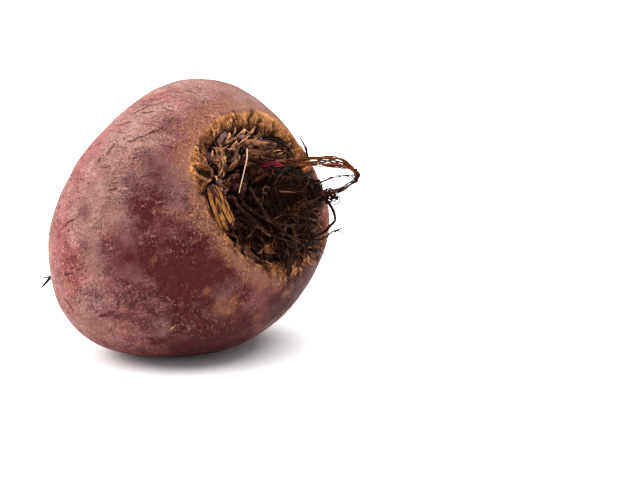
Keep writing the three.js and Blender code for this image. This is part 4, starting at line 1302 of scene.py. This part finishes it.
KINK_COUNT = 26


def kinked(points, amount, seed):
    """The smooth curve through the points with small kinks in it."""
    path = even_path(points, KINK_COUNT)
    kinks = [[noise.noise((0.9 * k, 3.1 * seed, 7.0 * axis)) for axis in range(3)] for k in range(len(path))]
    return path + amount * np.array(kinks)


TANGLE_SHADE = -0.25  # the dense middle's; the fibres over it are lighter
RIBBON_COUNT = 120
TRAILING_RIBBON_COUNT = 60

# The little orange curl on the tangle's left, and where the dark curls at its right end gather.
ORANGE_CURL = [(-5, 0.2, 42.4), (-7.1, 0.6, 43.2), (-7.7, 1.6, 44), (-6.6, 2.1, 44.5), (-5.3, 1.2, 44.2)]
CURL_PLACE = np.array((14.8, -4.6, 47.8))
CURL_SPREAD = np.array((2.4, 3.4, 5.0))
CURL_COUNT = 50

# Thick strands: route, half thickness at either end. The first ones are dark and the others brown.
DARK_STRANDS = 8
THICK_STRANDS = [
    ([(8, -3, 42), (11, -3.6, 45.6), (12.8, -5.6, 47.6), (14, -8.6, 48), (15.1, -10.6, 47.4),
      (15.3, -12.4, 46.2), (14.2, -14, 43.6), (12.4, -15, 41.2), (10.2, -15.4, 38.6), (7, -15, 36)], 0.55,
     0.34),
    ([(7, -2.4, 43), (9.6, -2.6, 46.2), (12, -4.4, 48), (13.2, -6.8, 48.4)], 0.45, 0.25),
    ([(7, -11, 38), (8.4, -14, 39.6), (10, -15.8, 41.2), (12.2, -16.2, 43.2), (14.6, -15.2, 44.8),
      (16.4, -14.7, 46), (17.4, -14.6, 46.8)], 0.5, 0.2),
    ([(15.4, -15, 45.4), (16.6, -15.4, 46.2), (17.7, -16.2, 46.6)], 0.22, 0.12),
    ([(-13.5, 0.9, 37.4), (-12.9, -3, 39), (-9.7, -7.9, 40.3), (-4.3, -12.2, 40.5), (3.3, -15.4, 40),
      (13, -16, 37)], 0.75, 0.4),
    ([(-15.5, -2, 35.4), (-13.8, -6.2, 36.2), (-13.9, -10, 36.2), (-13.8, -13.2, 35.8), (-11.3, -16.6, 35.4),
      (-6.8, -18.8, 35.2), (-1.2, -18.6, 35.6)], 0.7, 0.45),
    ([(-12.1, -0.8, 38), (-9.3, -5.2, 41), (-4.9, -9, 42.3), (-0.1, -13.2, 42), (8, -16.7, 38.4)],
     0.55, 0.35),
    ([(-8.2, 3.3, 39.4), (-9.4, -1.3, 42.2), (-9.2, -5.9, 44), (-4.5, -9.7, 45), (4.9, -10.8, 43.8)],
     0.5, 0.3),
    ([(4.5, -7.2, 44), (7.6, -9.6, 44.6), (9.8, -12.6, 42.2), (11.4, -14.9, 38)], 0.32, 0.2),
    ([(5.7, -7.2, 45.4), (9, -9, 46), (11.8, -11.6, 43), (13.1, -13.6, 38.4)], 0.28, 0.2),
    ([(7.4, -7.3, 46.4), (10.6, -8, 46.8), (13, -9.2, 44.4), (14.6, -10.2, 40)], 0.3, 0.2),
]


class BEETROOT_OT_tangle(bpy.types.Operator):
    """Mat several hundred dark fibres and leaf ribbons round a dense middle"""
    bl_idname = "beetroot.tangle"
    bl_label = "Fibre tangle"

    def execute(self, context):
        settings = context.scene.beetroot_crown
        finish = plant_finish("matted_dark_fibre", settings.fibre_dark, settings.fibre_worn,
                              settings.stub_brown, 0.45, 0.0, 0.1)
        # The dense middle.
        bm = bmesh.new()
        bmesh.ops.create_uvsphere(bm, u_segments=96, v_segments=64, radius=1)
        mesh = as_mesh("tangle_middle", bm)
        ball = unit(get_places(mesh))
        rough = 0.86 * dome_lumps(ball) + 0.03 * noise_at(ball, 0.06, 7.0)
        set_places(mesh, lay(TANGLE_MIDDLE + ball * TANGLE_SIZE * rough[:, None]))
        store(mesh, "shade", np.full(len(ball), TANGLE_SHADE))
        store(mesh, "along", np.zeros(len(ball)))
        store(mesh, "strip", ball * 4 * MM)
        finish_piece("tangle_middle", mesh, finish, "fibre_tangle")

        # Leaf ribbons over the dome and trailing from its foot.
        bunch = Bunch(slab_template(2, 14))
        for i in range(RIBBON_COUNT):
            route = wandering_fibre(i + 0.5, 5, 0.28, 0.35, 0.97, 0.3)
            bunch.bend(route, leaf_shape(0.25 + 0.65 * scatter(i, 91) ** 2, 0.5),
                       0.65 * scatter(i, 92) ** 4 - 0.26, 0.2 * scatter(i, 93), (0.8, 10, i),
                       taper(0.14, 0.1), unit(route[2] - TANGLE_MIDDLE))
        for i in range(TRAILING_RIBBON_COUNT):
            bunch.bend(trailing_fibre(i + 0.5, 5, 1.3), leaf_shape(0.3 + 0.7 * scatter(i, 145) ** 2, 0.5),
                       0.6 * scatter(i, 146) ** 3 - 0.26, 0.1, (0.8, 6, i), taper(0.14, 0.1), (0.3, 0.2, 1))
        bunch.finish("tangle_ribbons", finish, "dark_fibre", "fibre_tangle")

        # Fibres over the dome, trailing ones, and curls.
        bunch = Bunch(rod_template(4, 14))
        half = settings.fibre_thickness / MM / 2
        for i in range(settings.fibre_count):
            route = wandering_fibre(i, 7, 0.14 + 0.16 * scatter(i, 94), 0.75, 1.02, 0.45)
            size = half * (0.4 + 0.9 * scatter(i, 95) ** 2)
            bunch.bend(route, taper(size, 0.5 * size), 1.2 * scatter(i, 96) ** 4 - 0.3,
                       0.3 * scatter(i, 97) ** 3, (0.2, 10, i))
        for i in range(settings.trailing_count):
            size = half * (0.5 + 0.9 * scatter(i, 147) ** 2)
            right_edge = 0.5 * bell((scatter(i, 141) - 0.9) / 0.1)
            bunch.bend(trailing_fibre(i, 7, 0.8 + 0.8 * scatter(i, 148)), taper(size, 0.5 * size),
                       0.9 * scatter(i, 149) ** 4 - 0.2 + right_edge, 0.2, (0.2, 8, i))
        for i in range(CURL_COUNT):
            middle = CURL_PLACE + CURL_SPREAD * shake(i, 150, 151, 152)
            size = 0.35 + 1.0 * scatter(i, 153) ** 2
            start = 2 * math.pi * scatter(i, 154)
            lean = 0.35 * shake(i, 156, 157, 158)
            turns = np.linspace(start, start + 2.0 + 3.0 * scatter(i, 155), 7)[:, None]
            curl = middle + size * np.hstack([0.7 * np.cos(turns), np.sin(turns), 0.7 * np.cos(turns)])
            curl += lean * (turns - start)
            bunch.bend(curl, taper(0.2, 0.12), 0.5 * scatter(i, 159) ** 3 - 0.25, 0.1, (0.2, 4, i))
        bunch.bend(ORANGE_CURL, taper(0.14, 0.08), 1.2, 0.6, (0.2, 4, 0))
        bunch.finish("tangle_fibres", finish, "dark_fibre", "fibre_tangle")

        bunch = Bunch(rod_template(8, 40))
        v = bunch.shape[:, 2]
        for k, (points, start, end) in enumerate(THICK_STRANDS):
            size = taper(start, end)(v) * (1 + 0.25 * noise_of(k, 9 * v, 0))
            bunch.bend(kinked(points, 0.5, k), given(size), -0.04 if k < DARK_STRANDS else 0.35, 0.1,
                       (0.6, 20, k))
        bunch.finish("thick_strands", finish, "dark_fibre", "fibre_tangle")
        return {"FINISHED"}


# ---- The loop ----

# The fibres out of the crown to the far bend, and their two ways back: route, how many, how far they spread,
# half thickness, how brown, and how many of the route's last points hold them together.
LOOP_BUNDLE = [
    ([(10.5, 7.9, 34), (10.8, 7.2, 41), (11.5, 6.3, 47), (13.4, 4.7, 52), (14.6, 3.1, 55.6),
      (16.6, 0.7, 57.4), (18, -1.8, 56.9)], 15, 1.4, 0.17, 1, 2),
    ([(17.5, 0.4, 58), (17.8, -1.4, 57), (16.3, -0.7, 54), (14.9, -0.1, 51), (12.6, -0.8, 46)],
     3, 0.6, 0.14, 1, 0),
    ([(17.6, -0.2, 57.8), (17.6, -2.2, 56.8), (15.3, -3.5, 54), (13.9, -4.1, 51), (12, -4.2, 45.6)],
     6, 0.6, 0.2, 0.1, 0),
]
HAIR_COUNT = 46
HAIR_CURL = ((0, 0), (0.4, 0.5), (0.8, 1.2), (0.75, 2.1))  # how far ahead and aside a hair goes

# The hair that stands up from the bundle, its side shoot and a small hook: route, half widths, shade.
STANDING_HAIRS = [
    ([(12.1, 7.3, 45.6), (12, 9.7, 45.9), (11.9, 11.7, 45.7), (11.7, 13.9, 45.2)], 0.38, 0.2, 0.05),
    ([(11.9, 8.1, 45.7), (12.5, 9.8, 45.9), (12.5, 11.2, 45.7)], 0.2, 0.12, 0.7),
    ([(8.9, 7.4, 45.4), (9.5, 8.6, 45.8), (10, 9.3, 45.9), (10.7, 9.3, 45.9), (10.9, 8.8, 45.8),
      (10.5, 8.3, 45.7)], 0.26, 0.2, 0.3),
]


class BEETROOT_OT_loop(bpy.types.Operator):
    """Arch the red-brown fibres out of the crown and back, with the fine hairs that branch from them"""
    bl_idname = "beetroot.loop"
    bl_label = "Fibre loop"

    def execute(self, context):
        settings = context.scene.beetroot_crown
        bunch = Bunch(rod_template(6, 34))
        v = bunch.shape[:, 2]
        routes = []
        for group, (points, count, spread, thick, brown, held) in enumerate(LOOP_BUNDLE):
            for key in range(20 * group, 20 * group + count):
                aside = shake(key, 101, 102, 103) * 2
                path = []
                for k, point in enumerate(points):
                    wander = np.array((*shake(key, 110 + k, 120 + k), 0)) * 0.7
                    hold = 0.22 if k >= len(points) - held else 1.0
                    path.append(np.array(point) + (aside * spread + wander) * hold)
                size = thick * (0.8 + 0.7 * scatter(key, 104)) * (1 + 0.3 * noise_of(key, 14 * v, 0))
                bunch.bend(kinked(path, 0.55, key), given(size),
                           (1.7 * scatter(key, 105) ** 1.5 - 0.35) * brown, 0.5 * scatter(key, 106),
                           (0.3, 25, key))
                routes.append(path)
        finish = plant_finish("red_brown_fibre", settings.fibre_dark, settings.fibre_brown,
                              settings.stub_torn, 0.5, 0.2)
        bunch.finish("loop_fibres", finish, "brown_fibre", "fibre_loop")

        bunch = Bunch(rod_template(4, 10))
        for i in range(HAIR_COUNT):
            path = routes[int(scatter(i, 130) * len(routes))]
            start = spline(np.array(path), [0.35 + 0.6 * scatter(i, 131)])[0]
            heading = unit(shake(i, 132, 133, 134) - (0, 0.12, 0))
            aside = np.cross(heading, (scatter(i, 135) - 0.5, 0.4, scatter(i, 136) - 0.5))
            length = 0.8 + 2.0 * scatter(i, 137) ** 2
            curl = [start + heading * length * ahead + aside * out for ahead, out in HAIR_CURL]
            bunch.bend(curl, taper(0.09, 0.05), 0.6 * scatter(i, 138), 0.2, (0.2, 4, i))
        for k, (points, start, end, shade) in enumerate(STANDING_HAIRS):
            bunch.bend(points, taper(start, end), shade, 0.1, (0.2, 6, k))
        bunch.finish("loop_hairs", finish, "brown_fibre", "fibre_loop")
        return {"FINISHED"}


# ---- The stage ----

class BEETROOT_OT_stage(bpy.types.Operator):
    """Lay the pale floor, set the soft lights and place the camera"""
    bl_idname = "beetroot.stage"
    bl_label = "Stage"

    def execute(self, context):
        settings = context.scene.beetroot_stage
        scene = context.scene
        scene.view_settings.view_transform = "Standard"

        bm = bmesh.new()
        bmesh.ops.create_grid(bm, x_segments=1, y_segments=1, size=6)
        mesh = as_mesh("floor", bm)
        floor = bpy.data.objects.new("floor", mesh)
        scene.collection.objects.link(floor)
        material, _, shader = new_finish("white_paper_sweep")
        feed(shader, {"Base Color": settings.floor, "Roughness": 0.9, "Specular IOR Level": 0.0})
        mesh.materials.append(material)

        world = bpy.data.worlds.new("white_studio")
        world.use_nodes = True
        feed(world.node_tree.nodes["Background"], {"Color": (1, 1, 1), "Strength": settings.sky})
        scene.world = world

        flat = math.cos(CAMERA_RISE)
        towards = Vector((math.sin(CAMERA_TURN) * flat, -math.cos(CAMERA_TURN) * flat, math.sin(CAMERA_RISE)))
        right = Vector((math.cos(CAMERA_TURN), math.sin(CAMERA_TURN), 0))
        up = towards.cross(right)
        overhead = bpy.data.lights.new("overhead", "SUN")
        overhead.energy = settings.overhead_strength
        overhead.angle = math.radians(OVERHEAD_SPREAD)
        softbox = bpy.data.lights.new("softbox", "AREA")
        softbox.energy = settings.softbox_power
        softbox.size = SOFTBOX_SIZE
        upward = Vector((0, 0, 1))
        for light, direction in ((overhead, upward - 0.2 * right - 0.25 * towards),
                                 (softbox, 0.35 * upward - right - 0.15 * towards)):
            lamp = bpy.data.objects.new(light.name, light)
            lamp.location = MIDDLE * MM + direction.normalized() * SOFTBOX_DISTANCE
            lamp.rotation_euler = direction.to_track_quat("Z", "Y").to_euler()
            lamp.visible_camera = False
            scene.collection.objects.link(lamp)

        focal = PIXELS_PER_MM * CAMERA_DISTANCE
        ahead = (-towards * focal + right * (FRAME_WIDTH / 2 - MIDDLE_PIXEL[0])
                 + up * (MIDDLE_PIXEL[1] - FRAME_HEIGHT / 2))
        camera = bpy.data.cameras.new("camera")
        camera.sensor_width = SENSOR_WIDTH
        camera.lens = SENSOR_WIDTH * focal / FRAME_WIDTH
        camera.clip_start = 0.01
        seer = bpy.data.objects.new("camera", camera)
        seer.location = (MIDDLE + towards * CAMERA_DISTANCE) * MM
        seer.rotation_euler = ahead.to_track_quat("-Z", "Y").to_euler()
        scene.collection.objects.link(seer)
        scene.camera = seer
        return {"FINISHED"}


class BEETROOT_PT_panel(bpy.types.Panel):
    """The beetroot's pieces and their settings, in the 3D view's sidebar"""
    bl_idname = "BEETROOT_PT_panel"
    bl_label = "Beetroot"
    bl_space_type = "VIEW_3D"
    bl_region_type = "UI"
    bl_category = "Beetroot"

    def draw(self, context):
        layout = self.layout
        for group in SETTINGS:
            settings = getattr(context.scene, group)
            box = layout.box()
            for name in settings.__annotations__:
                box.prop(settings, name)
        for operator in OPERATORS:
            layout.operator(operator.bl_idname)


SETTINGS = {
    "beetroot_skin": BeetrootSkinSettings,
    "beetroot_crown": BeetrootCrownSettings,
    "beetroot_stage": BeetrootStageSettings,
}
OPERATORS = (
    BEETROOT_OT_stage,
    BEETROOT_OT_skin,
    BEETROOT_OT_rootlets,
    BEETROOT_OT_stubs,
    BEETROOT_OT_stems,
    BEETROOT_OT_scales,
    BEETROOT_OT_tangle,
    BEETROOT_OT_loop,
)


def register():
    for made in (*SETTINGS.values(), *OPERATORS, BEETROOT_PT_panel):
        bpy.utils.register_class(made)
    for name, group in SETTINGS.items():
        setattr(bpy.types.Scene, name, PointerProperty(type=group))


def unregister():
    for name in SETTINGS:
        delattr(bpy.types.Scene, name)
    for made in reversed((*SETTINGS.values(), *OPERATORS, BEETROOT_PT_panel)):
        bpy.utils.unregister_class(made)


def main():
    register()
    bpy.ops.beetroot.stage()
    bpy.ops.beetroot.skin()
    bpy.ops.beetroot.rootlets()
    bpy.ops.beetroot.stubs()
    bpy.ops.beetroot.stems()
    bpy.ops.beetroot.scales()
    bpy.ops.beetroot.tangle()
    bpy.ops.beetroot.loop()
    bpy.context.view_layer.update()


if __name__ == "__main__":
    main()
